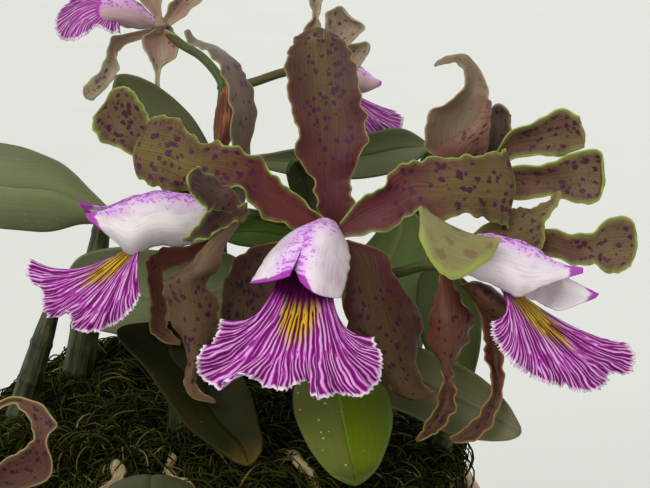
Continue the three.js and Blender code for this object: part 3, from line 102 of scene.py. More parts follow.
# Places of every piece, as ribs of left edge, middle and right edge: millimetres right and up across the
# view at the middle bloom, and millimetres back from it.
MIDDLE_BASE = [2, 3.2, 9]
MIDDLE_DORSAL = [
  [[0.5, 4.5, 9], [2, 4.2, 10], [3.8, 4.5, 9]],
  [[-2.2, 10.2, 8], [2, 10.2, 9], [7.2, 9.8, 8]],
  [[-3, 16, 8], [1.5, 16, 9.5], [6.2, 16, 8]],
  [[-7.2, 23, 7], [1.2, 22.2, 9.5], [10.2, 24, 6]],
  [[-7.2, 30.5, 8], [0.8, 30.5, 10.5], [10, 31.5, 9]],
  [[-9.5, 39, 10], [-0.5, 38, 12.5], [8.8, 39, 11]],
  [[-9.8, 46, 13], [-1.2, 45.5, 14.5], [7, 46.5, 13]],
  [[-8, 50.5, 17], [-1.5, 50, 16], [5, 50.5, 17]],
  [[-5.5, 53.5, 20], [-1.8, 54, 19], [2, 53.2, 20]],
]
MIDDLE_LEFT_PETAL = [
  [[0.5, 6, 7.5], [0.4, 4.2, 8], [0, 1.8, 7.5]],
  [[-5.8, 11, 6], [-6.2, 7.8, 8], [-8.8, 4.2, 6]],
  [[-11.2, 16, 5], [-13, 11.5, 6.5], [-15.8, 7, 4]],
  [[-17.5, 22, 3], [-18.8, 17, 4.5], [-20.5, 13, 2]],
  [[-24.2, 25, 2], [-25.8, 19.5, 2.5], [-27.8, 13.5, 1]],
  [[-31.8, 26, 2], [-33.2, 19.5, 2], [-34.5, 13, 3]],
  [[-36.8, 31.2, 1], [-39.2, 22.2, 3], [-41.2, 13.8, 4]],
  [[-42, 32, 3], [-44.2, 23.5, 5], [-45.5, 15.8, 6]],
  [[-45.5, 29.2, 7], [-47.5, 24, 8], [-48.8, 19, 9]],
]
MIDDLE_RIGHT_PETAL = [
  [[3.6, 5.2, 7], [3.8, 3.4, 7.5], [3.8, 1.6, 7]],
  [[9.2, 11.5, 6], [10.2, 7.5, 8], [11.8, 2.5, 6]],
  [[14.8, 15, 3], [16.2, 10.5, 6], [17.8, 4.5, 4]],
  [[19.2, 20, 3], [21.2, 14, 4.5], [23.2, 8, 2]],
  [[25.8, 21.5, 3], [27.8, 14, 3.5], [29.8, 6.2, 2]],
  [[33.2, 21.8, 3], [35.2, 14.5, 4], [36.2, 7.5, 5]],
  [[39.8, 22.5, 4], [40.8, 14.5, 5], [41.8, 5.5, 6]],
  [[45, 23, 7], [45.8, 14.5, 8], [45.8, 5, 9]],
  [[47.5, 20.2, 10], [47.5, 14, 10], [47, 8, 11]],
]
MIDDLE_RIGHT_SEPAL = [
  [[2.8, 1.4, 7.5], [4.2, 0.8, 8], [5.8, 1, 7.5]],
  [[6, -3.5, 5], [8.8, -3, 7.5], [15.2, -2.5, 8]],
  [[5.2, -10.2, 3], [10.2, -9.5, 4], [17.8, -9, 8]],
  [[5, -17, 2], [12.2, -16.5, 1.5], [23.2, -15.5, 8]],
  [[6.2, -22.5, 2], [14, -23, 0.5], [24, -21.5, 7]],
  [[10.8, -27, 2], [15.8, -28, 0.5], [22.8, -28, 5]],
  [[14.8, -33, 2], [18.8, -33.5, 1], [23.8, -33, 3]],
  [[18.2, -37.5, 2], [21.8, -38, 1.2], [25.8, -36, 2]],
  [[23.8, -39.2, 2], [26.2, -38.8, 2], [28.2, -37.8, 2]],
]
MIDDLE_LEFT_SEPAL = [
  [[-0.4, 3, 10], [0.4, 1.6, 10], [1.2, 0.4, 10]],
  [[-10, 1, 10], [-7.2, -1.5, 11], [-4.8, -4.5, 9]],
  [[-17.2, -0.5, 11], [-14.2, -4.5, 11], [-10.2, -9, 9]],
  [[-22.2, -3.5, 10], [-18.2, -9, 10], [-13.2, -14, 8]],
  [[-25.2, -9.5, 8], [-20.5, -14, 8], [-15.2, -19, 7]],
  [[-26.2, -17, 6], [-22.2, -19.5, 7], [-17.2, -24, 6]],
  [[-25.8, -22.5, 5], [-22.8, -24, 6], [-19.2, -26.5, 5]],
  [[-24.2, -27, 5], [-22.8, -27.5, 5], [-21.2, -28.5, 5]],
]
MIDDLE_LIP_LEFT_LOBE = [
  [[-2.5, 4.5, 7], [-1.5, 5.8, 5], [0.5, 6.5, 4]],
  [[-10.2, 1, 4], [-7.8, 3, -2], [-3.8, 4, -4]],
  [[-14.2, -3, 0], [-11.2, -0.8, -7], [-5, 0.8, -9]],
  [[-16.8, -7, -6], [-13.2, -4, -12], [-6.2, -2, -13]],
  [[-18.8, -9.8, -14], [-14, -9.4, -17.2], [-8.8, -8, -18.2]],
]
MIDDLE_LIP_RIGHT_LOBE = [
  [[-2, 6, 5], [1.2, 6, 4], [3.6, 3.6, 7]],
  [[-5.4, 3, -3.6], [0.8, 4, -3.5], [5.5, 0, 5]],
  [[-6.8, -0.5, -8.6], [-0.2, 0.5, -9.5], [6.2, -3.5, 2]],
  [[-7.8, -4.5, -12.6], [-1.2, -4.5, -14.5], [5.5, -8, -3]],
  [[-6.3, -9.3, -17.4], [-1.8, -12.6, -18], [4, -13.5, -9]],
]
MIDDLE_LIP_THROAT = [[-11, -6.5, -9], [2, -7.6, -6]]
MIDDLE_LIP_RIM = [
  [-26.5, -18.5, -19],
  [-28.2, -24, -15],
  [-32.2, -28, -20],
  [-31.8, -33, -15],
  [-26.5, -36.2, -22],
  [-22.2, -32.5, -27],
  [-15.8, -35.5, -22],
  [-10.2, -37.2, -28],
  [-4, -34.2, -23],
  [-1.8, -39, -28],
  [3.8, -37.8, -21],
  [9.2, -38.5, -25],
  [13.8, -34.5, -17],
  [14.8, -28.5, -21],
  [12.5, -24, -15],
]
MIDDLE_LIP_MIDDLE = [
  [-17, -17.4, -15],
  [-17.6, -21.2, -16.5],
  [-15.5, -24.4, -18.5],
  [-11.2, -26.2, -21.5],
  [-5.5, -26.5, -22],
  [0, -25.5, -21],
  [3.6, -23.4, -18],
  [4, -19.8, -14],
]
MIDDLE_COLUMN = [[1.5, 2.5, 4], [-1, -1.5, -3], [-4.5, -8, -9]]
LEFT_BASE = [-21.2, 7.8, 2]
LEFT_DORSAL = [
  [[-22.6, 9.2, 2], [-21.5, 9.6, 3.5], [-20.4, 9.2, 5]],
  [[-24, 16, 6], [-21.5, 16.5, 9], [-19, 16, 12]],
  [[-23.5, 25, 7], [-21.5, 24.5, 10], [-18.8, 23, 13]],
  [[-23.5, 33.8, 4], [-20.5, 34, 10], [-17.2, 33.8, 14]],
  [[-24.8, 40.5, 4], [-21.8, 41, 10], [-19, 40.5, 14]],
  [[-27.5, 46, 4], [-24.8, 46.8, 9], [-22.2, 45.5, 13]],
  [[-30.5, 48.8, 4], [-28.8, 49.5, 8], [-26.8, 49, 11]],
  [[-34, 50, 5], [-33, 50.8, 7], [-32, 51, 9]],
  [[-35.2, 53, 5], [-34.8, 53.5, 6], [-34.2, 53.8, 7.5]],
]
LEFT_FAR_PETAL = [
  [[-22, 9, 3], [-22.6, 8, 4], [-23, 6.6, 4]],
  [[-30, 13.5, 8], [-30.5, 11, 9], [-31.2, 8.5, 8]],
  [[-37.2, 21, 11], [-39, 19, 13], [-41.2, 16.5, 12]],
  [[-42.2, 28.5, 13], [-46.2, 25, 14], [-50.8, 23.5, 13]],
  [[-44.8, 33, 12], [-50.2, 30.5, 14], [-56.8, 26.5, 12]],
  [[-47.8, 38, 11], [-52.2, 35, 13], [-58.2, 30.5, 12]],
  [[-51.8, 40.2, 11], [-53.8, 38, 12], [-55.5, 34.8, 12]],
]
LEFT_NEAR_PETAL_UPPER = [
  [[-20.8, 10, -0.5], [-21.6, 8.8, -1], [-22.2, 7.5, -1]],
  [[-23.8, 13.8, -6], [-24.2, 11, -11], [-25.2, 8.2, -9]],
  [[-28, 16.5, -9], [-28, 12.2, -14], [-29, 8.5, -15]],
  [[-31.2, 18.8, -13], [-31.5, 15, -16], [-32.2, 11.2, -19]],
  [[-33.8, 19, -16], [-34.5, 16.8, -18], [-34.8, 14.2, -20]],
]
LEFT_NEAR_PETAL_LOWER = [
  [[-19.5, 10.5, -0.5], [-19.8, 8.2, -1], [-20, 6, -1]],
  [[-23.2, 9.5, -6], [-23, 7.5, -5], [-23.2, 5.2, -6]],
  [[-28.5, 9, -12], [-27.2, 5.8, -10], [-26.8, 3.2, -12]],
  [[-32, 4.5, -18], [-30.5, 2.8, -16], [-30, 1.2, -17]],
  [[-35.8, 1, -22], [-35.2, 0.8, -22], [-34.5, 0.5, -21]],
]
LEFT_NEAR_SEPAL = [
  [[-23, 6.4, 1], [-22, 5.6, 1.5], [-21, 5.6, 2.5]],
  [[-30, -0.5, -3], [-27.8, -1.5, -5], [-25.8, -2, -2]],
  [[-34.8, -5.8, -4], [-30.8, -6, -7], [-26.2, -5.5, -3]],
  [[-39.8, -9, -3], [-35, -9.5, -7], [-29.8, -9.5, -3]],
  [[-40, -14, -2], [-34.2, -14.5, -6], [-27, -14.5, -2]],
  [[-37.5, -21, -2], [-32.2, -21, -5], [-27, -20.5, -2]],
  [[-34.2, -27.8, -2], [-32.5, -28.5, -4], [-30.8, -28, -2]],
  [[-35.2, -33.5, -3], [-33.8, -33.8, -4], [-32.2, -33, -3]],
  [[-33.8, -38, -4], [-32.5, -37.2, -4], [-31.5, -36.2, -4]],
  [[-27.8, -40, -4], [-27.2, -39.5, -4], [-27.5, -38.8, -4]],
]
LEFT_FAR_SEPAL = [
  [[-22.6, 6.6, 4], [-22.2, 5.6, 4.5], [-21.8, 5, 5]],
  [[-32.5, 0, 5], [-32.2, -1.5, 6], [-31.8, -3.5, 6]],
  [[-40, -1, 6], [-39.2, -3.5, 7], [-38.2, -6, 7]],
  [[-44.2, -3.5, 6], [-42.5, -5.5, 7], [-40.5, -7, 7]],
  [[-44.5, -9, 6], [-42.5, -10, 7], [-40, -10.5, 7]],
  [[-43.5, -15.2, 6], [-42, -15.5, 7], [-39.2, -15.5, 7]],
  [[-44, -20.5, 5], [-42, -20.5, 6], [-39.5, -20.2, 6]],
  [[-41.2, -24.2, 4], [-39.8, -23, 5], [-38.2, -22.2, 5]],
  [[-36, -25.5, 4], [-36, -25, 4], [-35.8, -24.5, 4]],
]
LEFT_LIP_NEAR_LOBE = [
  [[-22.4, 8.4, 0.5], [-22.4, 6.9, -0.5], [-22.6, 5.6, 1]],
  [[-30, 10.8, -1], [-29.8, 6, -6], [-29.8, 1, 0]],
  [[-36.2, 12.5, 0], [-36.2, 6, -8.5], [-35.8, -0.5, -2]],
  [[-42.5, 13, 0], [-42.5, 6, -9.5], [-42.2, -0.5, -3]],
  [[-48.8, 11.2, -1], [-48.2, 4, -10], [-48.8, -2.8, -5]],
  [[-55.2, 8.5, -3], [-53.8, 5.5, -8], [-51.8, 0, -8]],
  [[-59.8, 7.5, -5], [-59.2, 6.2, -7], [-57.2, 4.5, -8]],
]
LEFT_LIP_FAR_LOBE = [
  [[-22.4, 8.6, 0], [-22.4, 7, 2], [-22.6, 5.8, 1.5]],
  [[-30, 11, -1.5], [-29.8, 6, 5], [-29.8, 1, 1]],
  [[-36.2, 12.8, -0.5], [-36.2, 6, 7], [-35.8, 0, 2]],
  [[-42.5, 13.2, -0.5], [-42.5, 6, 8], [-42.2, 0, 3]],
  [[-48.8, 11.6, -1.5], [-48.8, 5, 8.5], [-48.8, -1, 5]],
  [[-55.2, 9.4, -2], [-54.5, 6.5, 7], [-53, 3, 7]],
  [[-61.8, 10.8, 1], [-61, 9.5, 3], [-59.5, 8, 4]],
]
LEFT_LIP_THROAT = [[-46, 1, 0], [-46, -0.6, -5]]
LEFT_LIP_RIM = [
  [-74, -3.2, 4],
  [-75, -7.8, 1],
  [-71.2, -11.5, -2],
  [-71, -16, -2],
  [-68.8, -18.5, -3],
  [-64.2, -16.8, -7],
  [-63.2, -21, -5],
  [-59, -22.5, -9],
  [-53.6, -21, -8],
  [-48.2, -17.2, -10],
  [-45.8, -13, -8],
]
LEFT_LIP_MIDDLE = [
  [-61.5, -6.2, 0.5],
  [-62, -9.5, -3],
  [-60, -12.5, -6],
  [-56.5, -14, -8],
  [-51.5, -12.2, -9],
  [-46.9, -7.2, -7],
]
LEFT_COLUMN = [[-23.5, 7.4, 0.8], [-33, 8, -0.5], [-43, 7, -0.5]]
RIGHT_BASE = [30.4, -5.6, 5]
RIGHT_NEAR_PETAL = [
  [[29.6, -5.2, 3], [24.5, 8, -12], [24, 7.2, -14]],
  [[30, -5.2, 2.6], [27.2, 6.8, -12], [23.8, 1, -17]],
  [[30.4, -5.2, 2.4], [30.2, 5, -12], [27.8, -6, -18]],
  [[31, -5, 2.2], [33.2, 3.5, -12], [31.2, -8.8, -18]],
  [[31.6, -4.8, 2.2], [36.8, 2.2, -12], [37.2, -6.8, -17]],
  [[32.2, -4.4, 2.2], [40.5, 1.5, -12], [41.8, -3, -16]],
  [[32.8, -4, 2.2], [43, 0.8, -12], [43.2, 0.2, -14]],
]
RIGHT_FAR_PETAL = [
  [[31, -3.6, 7], [31.6, -4.6, 7.5], [32, -5.6, 7]],
  [[43.8, 2, 11], [43.8, -1.5, 13], [43.8, -5, 12]],
  [[55, 4, 12], [55.5, 0.5, 13], [56.2, -3, 12]],
  [[62, 2.5, 10], [62.2, -1.5, 11], [62.8, -5.5, 10]],
  [[66.8, 3.2, 8], [67, -0.8, 9], [67.2, -5.2, 8]],
  [[71.8, 6.8, 7], [71.8, -0.2, 8], [71.8, -7.5, 7]],
  [[76.8, 6, 5], [76.8, 0, 6], [75.8, -6, 5]],
  [[78, 2, 5], [78, -0.5, 5], [77.8, -2.5, 5]],
]
RIGHT_DORSAL = [
  [[30, -3.2, 7], [31, -3.8, 7.5], [31.8, -4.6, 6.5]],
  [[40, 4.8, 12], [41.8, 2.2, 10], [43.8, 0.2, 8.5]],
  [[46.8, 9, 14], [49.2, 5.5, 11], [54.5, -0.8, 8.5]],
  [[50.8, 8.8, 14], [52.5, 7.5, 11.5], [55, 5, 9.5]],
  [[55.8, 10.8, 13.5], [56.8, 10.2, 12], [57.8, 9.2, 11]],
  [[58, 13, 13], [58.8, 13.2, 12], [59.5, 12.5, 12]],
]
RIGHT_NEAR_SEPAL = [
  [[28.8, -6.6, 4.5], [30, -7.4, 5], [31.4, -7.6, 5]],
  [[27.8, -13, 2], [30.8, -13.5, 0], [33.8, -13.5, 3]],
  [[26, -20.2, 2], [31.2, -19, -2], [37.2, -19, 2]],
  [[26, -24.5, 3], [30.8, -25.5, 0], [35.2, -24.5, 4]],
  [[29.2, -31.5, 3], [30.2, -32.2, 3], [31.5, -32.5, 4]],
  [[28.8, -37, 4], [30.8, -37.5, 6], [32.8, -37.8, 4]],
  [[27, -41.8, 3], [29.2, -42.2, 5], [32, -42.5, 3]],
  [[24.2, -46.5, 2], [26, -47, 3], [27.8, -47.2, 2]],
  [[22.5, -49, 1], [23, -49.2, 1], [23.8, -49.2, 1]],
]
RIGHT_FAR_SEPAL = [
  [[32, -7, 7], [33, -7.6, 8], [34, -8.4, 8]],
  [[37.2, -14, 7], [39.8, -15, 8], [42.2, -15.5, 8]],
  [[39.8, -22.8, 6], [41.8, -23.2, 8], [43.8, -23.5, 7]],
  [[40, -27.8, 5], [42.2, -28.5, 8], [44.5, -29, 6]],
  [[41.8, -35.2, 5], [43, -36.2, 7], [44.5, -36.5, 6]],
  [[38.8, -42, 4], [40.5, -43.5, 6], [41.8, -45, 5]],
  [[34.2, -46.5, 3], [35.8, -48, 4], [37.2, -49.2, 3]],
  [[30.8, -48.5, 2], [31.2, -49, 2], [31.8, -49.8, 2]],
]
RIGHT_FAR_SEPAL_FOLD = [
  [[34, -10, 7], [35, -11, 8], [36, -12, 8]],
  [[38.8, -9.5, 3], [38.2, -12, -1], [37.6, -14.5, 5]],
  [[44.2, -12.6, 2], [43.2, -15, -2], [41.2, -18.5, 3]],
  [[47.8, -15.6, 2], [46.8, -17, 0], [44.8, -19, 2]],
]
RIGHT_LIP_NEAR_LOBE = [
  [[31.6, -4, 3.5], [31.8, -5.2, 2.6], [31.6, -6.4, 3]],
  [[38.5, 2.2, -4], [37.8, -3, -10.5], [37.8, -8.5, -6]],
  [[45, 1.5, -4], [44.5, -4.5, -12], [43.8, -11, -8]],
  [[51.2, -0.5, -4], [50, -6.5, -12], [48.2, -13.2, -10]],
  [[55.5, -3.2, -5], [54.5, -7, -11], [53.2, -11, -12]],
  [[59.2, -5, -6], [59.2, -7, -10], [58.8, -9, -12]],
  [[64.2, -6, -8], [64.5, -6.5, -9], [64.5, -7.2, -10]],
]
RIGHT_LIP_FAR_LOBE = [
  [[31.6, -3.8, 3], [31.8, -5, 5], [31.6, -6.2, 4]],
  [[38.5, 2.5, -4.5], [38.5, -3, 4], [38, -8.5, 0]],
  [[45, 1.8, -4.5], [45, -4, 5], [44, -10, 1]],
  [[51.2, -0.1, -4.5], [51.5, -6, 5], [50, -13, 1]],
  [[55.5, -3, -4], [57, -8, 4], [54, -14.8, 0]],
  [[60, -8, 0], [60.5, -11.5, 1], [58, -16.5, -3]],
  [[68.5, -12.5, 0], [68, -13, -0.5], [67, -13.8, -1]],
]
RIGHT_LIP_THROAT = [[46, -10.5, -1], [44, -11, -5]]
RIGHT_LIP_RIM = [
  [75.8, -25, 4],
  [78, -27.5, 2],
  [77, -32.2, 1],
  [71.8, -32.8, -2],
  [70.2, -35.8, -3],
  [64.5, -37.5, -9],
  [58.2, -35.5, -8],
  [54.8, -35.5, -13],
  [50.8, -33, -11],
  [47.8, -31.8, -14],
  [43.8, -27.5, -11],
  [41.2, -23.5, -13],
  [40.8, -19.5, -9],
]
RIGHT_LIP_MIDDLE = [
  [61.5, -20.6, 2],
  [62, -24.5, -2],
  [60, -27, -6],
  [55.5, -27.5, -10],
  [50.5, -25.5, -12],
  [47, -21.5, -11],
  [45.5, -17, -8],
]
RIGHT_COLUMN = [[32.6, -5, 4], [41, -3.5, -3], [49, -7, -4]]
BACK_RIGHT_BASE = [37.6, 16, 21]
BACK_RIGHT_CURL = [
  [[36, 18, 19], [37, 18, 21], [38.4, 18, 19]],
  [[25.2, 24, 15], [31.8, 23, 20], [38.8, 23.5, 17]],
  [[25.2, 28.5, 14], [31.2, 28, 20], [39.8, 27, 17]],
  [[26.2, 33, 14], [32.5, 32.2, 20], [40.5, 33, 17]],
  [[32.5, 36.5, 14], [35.8, 37, 19], [41, 36.5, 17]],
  [[35.2, 41.5, 15], [37.2, 42, 18], [40, 41, 17]],
  [[33.2, 45, 14], [34.5, 46, 15], [36.2, 46.8, 16]],
  [[29.8, 45, 12], [30.2, 46, 12], [31, 47.2, 13]],
  [[27, 44.2, 11], [27.5, 44.8, 11], [28, 45.8, 11]],
]
BACK_RIGHT_STRAP = [
  [[38, 18, 23], [38.6, 18, 24], [39.4, 18, 23]],
  [[40.8, 26.5, 22], [43, 26.5, 24], [45.8, 26, 22]],
  [[40.8, 31.5, 22], [43.2, 32, 24], [46.5, 31, 22]],
  [[41.5, 34.2, 21], [43.5, 35, 22], [45.8, 34, 21]],
]
BACK_RIGHT_UPPER = [
  [[39.4, 18, 20], [39.6, 17, 21], [39.8, 16, 20]],
  [[46.8, 28.2, 17], [47.2, 25, 20], [47.8, 21.5, 19]],
  [[53, 30.8, 16], [53.8, 26.5, 19], [54, 22, 18]],
  [[58.8, 33.8, 15], [59.2, 28, 17], [58.8, 22, 17]],
  [[63.2, 32.2, 14], [63.2, 28.5, 15], [64.5, 24, 15]],
  [[64, 30.5, 14], [64.8, 28, 14], [65.8, 24.8, 14]],
]
BACK_RIGHT_LOWER = [
  [[39.2, 16.5, 19], [39.4, 15.2, 20], [39.2, 14, 19]],
  [[46.2, 19.2, 16], [46.8, 15.5, 18], [47, 11, 17]],
  [[53, 19.8, 15], [54, 16, 17], [54.5, 11.8, 15]],
  [[57.8, 20.8, 14], [58.8, 16.5, 16], [59.2, 11.5, 15]],
  [[63.8, 23.4, 13], [64.5, 17.2, 15], [64.8, 9.8, 14]],
  [[68.8, 23.2, 12], [69, 17, 14], [68.5, 11.2, 12]],
  [[69.2, 18.5, 12], [69.8, 15.8, 12], [69.5, 13.5, 12]],
]
BACK_LEFT_BASE = [-40, 53.6, 63.5]
BACK_LEFT_CORE = [-41.4, 54.8, 60.6]
BACK_LEFT_HANGING = [
  [[-42.4, 54, 59.5], [-41.2, 53.8, 60.5], [-39.8, 53.6, 59.5]],
  [[-45.5, 51.5, 58], [-41, 51, 62], [-36.5, 51.5, 58]],
  [[-44.2, 46.5, 57], [-41, 46, 60], [-37.5, 47, 57]],
  [[-42.5, 43.5, 57], [-41.8, 43.2, 58], [-41, 43.8, 57]],
  [[-42.5, 38.5, 57], [-42, 38, 57.5], [-41.5, 38.5, 57]],
]
BACK_LEFT_DROOPING = [
  [[-42.6, 54, 60.5], [-42.6, 53, 61.5], [-42.6, 52.4, 61.5]],
  [[-50, 52.5, 59.5], [-50.5, 51, 61], [-51, 49, 59.5]],
  [[-53.8, 51, 57], [-53, 49, 59], [-52, 46.5, 57]],
  [[-54.8, 46, 56], [-53.2, 44.5, 58], [-51.8, 43, 57]],
  [[-58.2, 41.5, 56], [-56.5, 40, 57], [-54.8, 39, 57]],
  [[-61.2, 38.5, 56], [-60.2, 36.8, 57], [-58.8, 35, 57]],
]
BACK_LEFT_RISING = [
  [[-40.6, 56, 60.5], [-39.8, 55.2, 61], [-39, 54.4, 60.5]],
  [[-38.2, 60.5, 58], [-36.5, 59, 61], [-34.5, 57.5, 58]],
  [[-35.2, 64.5, 58], [-33, 63, 61], [-30.8, 61.5, 58]],
  [[-29.8, 66, 60], [-29.2, 65.5, 60], [-28.8, 64.8, 60]],
]
BACK_LEFT_DORSAL = [
  [[-42.2, 56.4, 61], [-41.6, 56.8, 62], [-40.8, 56.8, 61.5]],
  [[-47.2, 62.5, 61], [-44.2, 63.5, 64], [-41.2, 64, 61]],
  [[-48.8, 68.5, 60], [-45.8, 69.5, 63], [-42.2, 70, 60]],
  [[-46.8, 74, 60], [-45.8, 74.5, 61], [-44.8, 74.2, 60]],
]
BACK_LEFT_HOOD = [
  [[-42, 56, 60], [-42.6, 55.2, 59], [-42.4, 54.2, 60]],
  [[-47, 60.5, 60], [-47.5, 57, 55], [-47.5, 53.8, 58.5]],
  [[-52.5, 61.8, 60], [-52.5, 58, 54], [-52, 54.8, 57]],
  [[-57, 60.5, 59], [-57, 58, 55], [-56.5, 55, 56]],
]
BACK_LEFT_THROAT = [[-51, 57.5, 57.5], [-51.5, 60.5, 59.5]]
BACK_LEFT_RIM = [
  [-51, 52.5, 53],
  [-54, 52.8, 51],
  [-57, 54, 53.5],
  [-60, 51.8, 51],
  [-64, 50.4, 53],
  [-66.8, 51.5, 53],
  [-67.8, 55.5, 55],
  [-66, 59, 57],
  [-63, 61.2, 60],
]
BACK_LEFT_MIDDLE = [
  [-51.4, 55, 55.6],
  [-54.5, 56, 55],
  [-58.5, 56.2, 54],
  [-60, 58.2, 56],
  [-58.5, 60.5, 59],
  [-57.2, 62, 60.5],
]
BACK_MIDDLE_BASE = [-1.4, 41.6, 48]
BACK_MIDDLE_CORE = [1.2, 42, 47]
BACK_MIDDLE_UPPER = [
  [[0.4, 43, 47], [1.4, 42.8, 48], [2.4, 42.4, 47]],
  [[0.2, 51, 47], [3.2, 50.5, 50], [6.2, 50.5, 47]],
  [[0.2, 57, 46], [5, 55, 50], [10.2, 54, 46]],
  [[4, 60.2, 46], [4.5, 59, 48], [6.8, 56, 46]],
]
BACK_MIDDLE_LOWER = [
  [[2, 42.6, 45.5], [2.6, 42, 46.5], [3, 41, 46]],
  [[5, 49, 44], [6.8, 47, 47], [8.2, 44.5, 44]],
  [[10.8, 51, 43], [11.2, 49.5, 44], [11, 47.5, 43]],
]
BACK_MIDDLE_STRAP = [
  [[-0.6, 43, 48.5], [0.2, 43, 49], [1, 43, 48.5]],
  [[-5.2, 53, 49], [-3.5, 53.5, 51], [-1.2, 54, 49]],
  [[-3, 57.2, 49], [-2.2, 57.5, 50], [-1.5, 57.2, 49]],
  [[-4.2, 61.5, 49], [-2.5, 62, 51], [-0.5, 61.8, 49]],
  [[-3.2, 66, 50], [-2, 66.5, 51], [-0.8, 66, 50]],
]
BACK_MIDDLE_HOOD = [
  [[2.6, 42.6, 47], [2.8, 41.6, 46], [2.6, 40.6, 47]],
  [[8.2, 44.5, 47], [8.2, 41, 42], [8.2, 37.5, 46]],
  [[11.8, 42, 46], [11.2, 40, 43], [10.2, 38, 44]],
  [[14.2, 40.5, 44], [14, 40, 44], [13.8, 39.5, 44]],
]
BACK_MIDDLE_THROAT = [[6.2, 38.5, 45.5], [5, 37, 46]]
BACK_MIDDLE_RIM = [
  [17.8, 33, 46],
  [19.8, 31, 44],
  [18.8, 27.8, 41],
  [15, 27, 43],
  [11.8, 25.5, 40],
  [8.8, 26, 43],
  [6.2, 28.5, 42],
]
BACK_MIDDLE_MIDDLE = [
  [11.8, 35.2, 42.5],
  [12.5, 32.8, 42],
  [10.5, 31.4, 41.5],
  [7.4, 32, 42.5],
  [4.8, 33.6, 44.5],
]
CORNER_BASE = [-84.6, -60.4, -3.4]
CORNER_CORE = [-86.6, -59.6, -7]
CORNER_HOOK = [
  [[-85.8, -61, -7], [-85.2, -59.5, -6], [-85, -58, -7]],
  [[-76.2, -61.5, -8], [-76.8, -58, -7], [-78.8, -53, -8]],
  [[-68.2, -57.5, -9], [-70.8, -54.5, -8], [-75.2, -51.2, -9]],
  [[-69.5, -49.2, -9], [-71.2, -49, -8], [-73, -48.5, -9]],
  [[-67.2, -45, -8], [-70, -45, -7], [-73.2, -45.8, -8]],
  [[-70.2, -40.8, -7], [-72.2, -42, -6], [-75, -42.5, -7]],
  [[-76.2, -38.2, -5], [-76.8, -39.2, -4], [-77.5, -40, -5]],
  [[-81.8, -39.5, -4], [-82.2, -40.5, -3], [-82.2, -41.8, -4]],
  [[-85.2, -42, -4], [-85.5, -42.8, -4], [-85.2, -43.5, -4]],
]
CORNER_LEFT = [
  [[-88.4, -58, -7], [-88.6, -59, -7], [-88.4, -60.4, -7]],
  [[-96.2, -50, -6], [-95.8, -54.5, -3], [-95.8, -59, -6]],
  [[-105, -46, -2], [-105, -51.5, 1], [-104.8, -57.5, -2]],
  [[-110.8, -48, 2], [-111.2, -51, 2], [-110.8, -54.5, 2]],
]
CORNER_DOWN = [
  [[-88.2, -61, -9], [-87.2, -61.4, -8], [-86, -61, -9]],
  [[-95.8, -68, -16], [-90.8, -68.5, -13], [-85.8, -67.5, -16]],
  [[-96.8, -76.5, -18], [-91.8, -77, -15], [-86.8, -76, -18]],
  [[-93.8, -85.5, -16], [-92.2, -86.5, -15], [-90.2, -85.5, -16]],
]
CORNER_LIP_SHIFT = [-86.5, -64, -14]
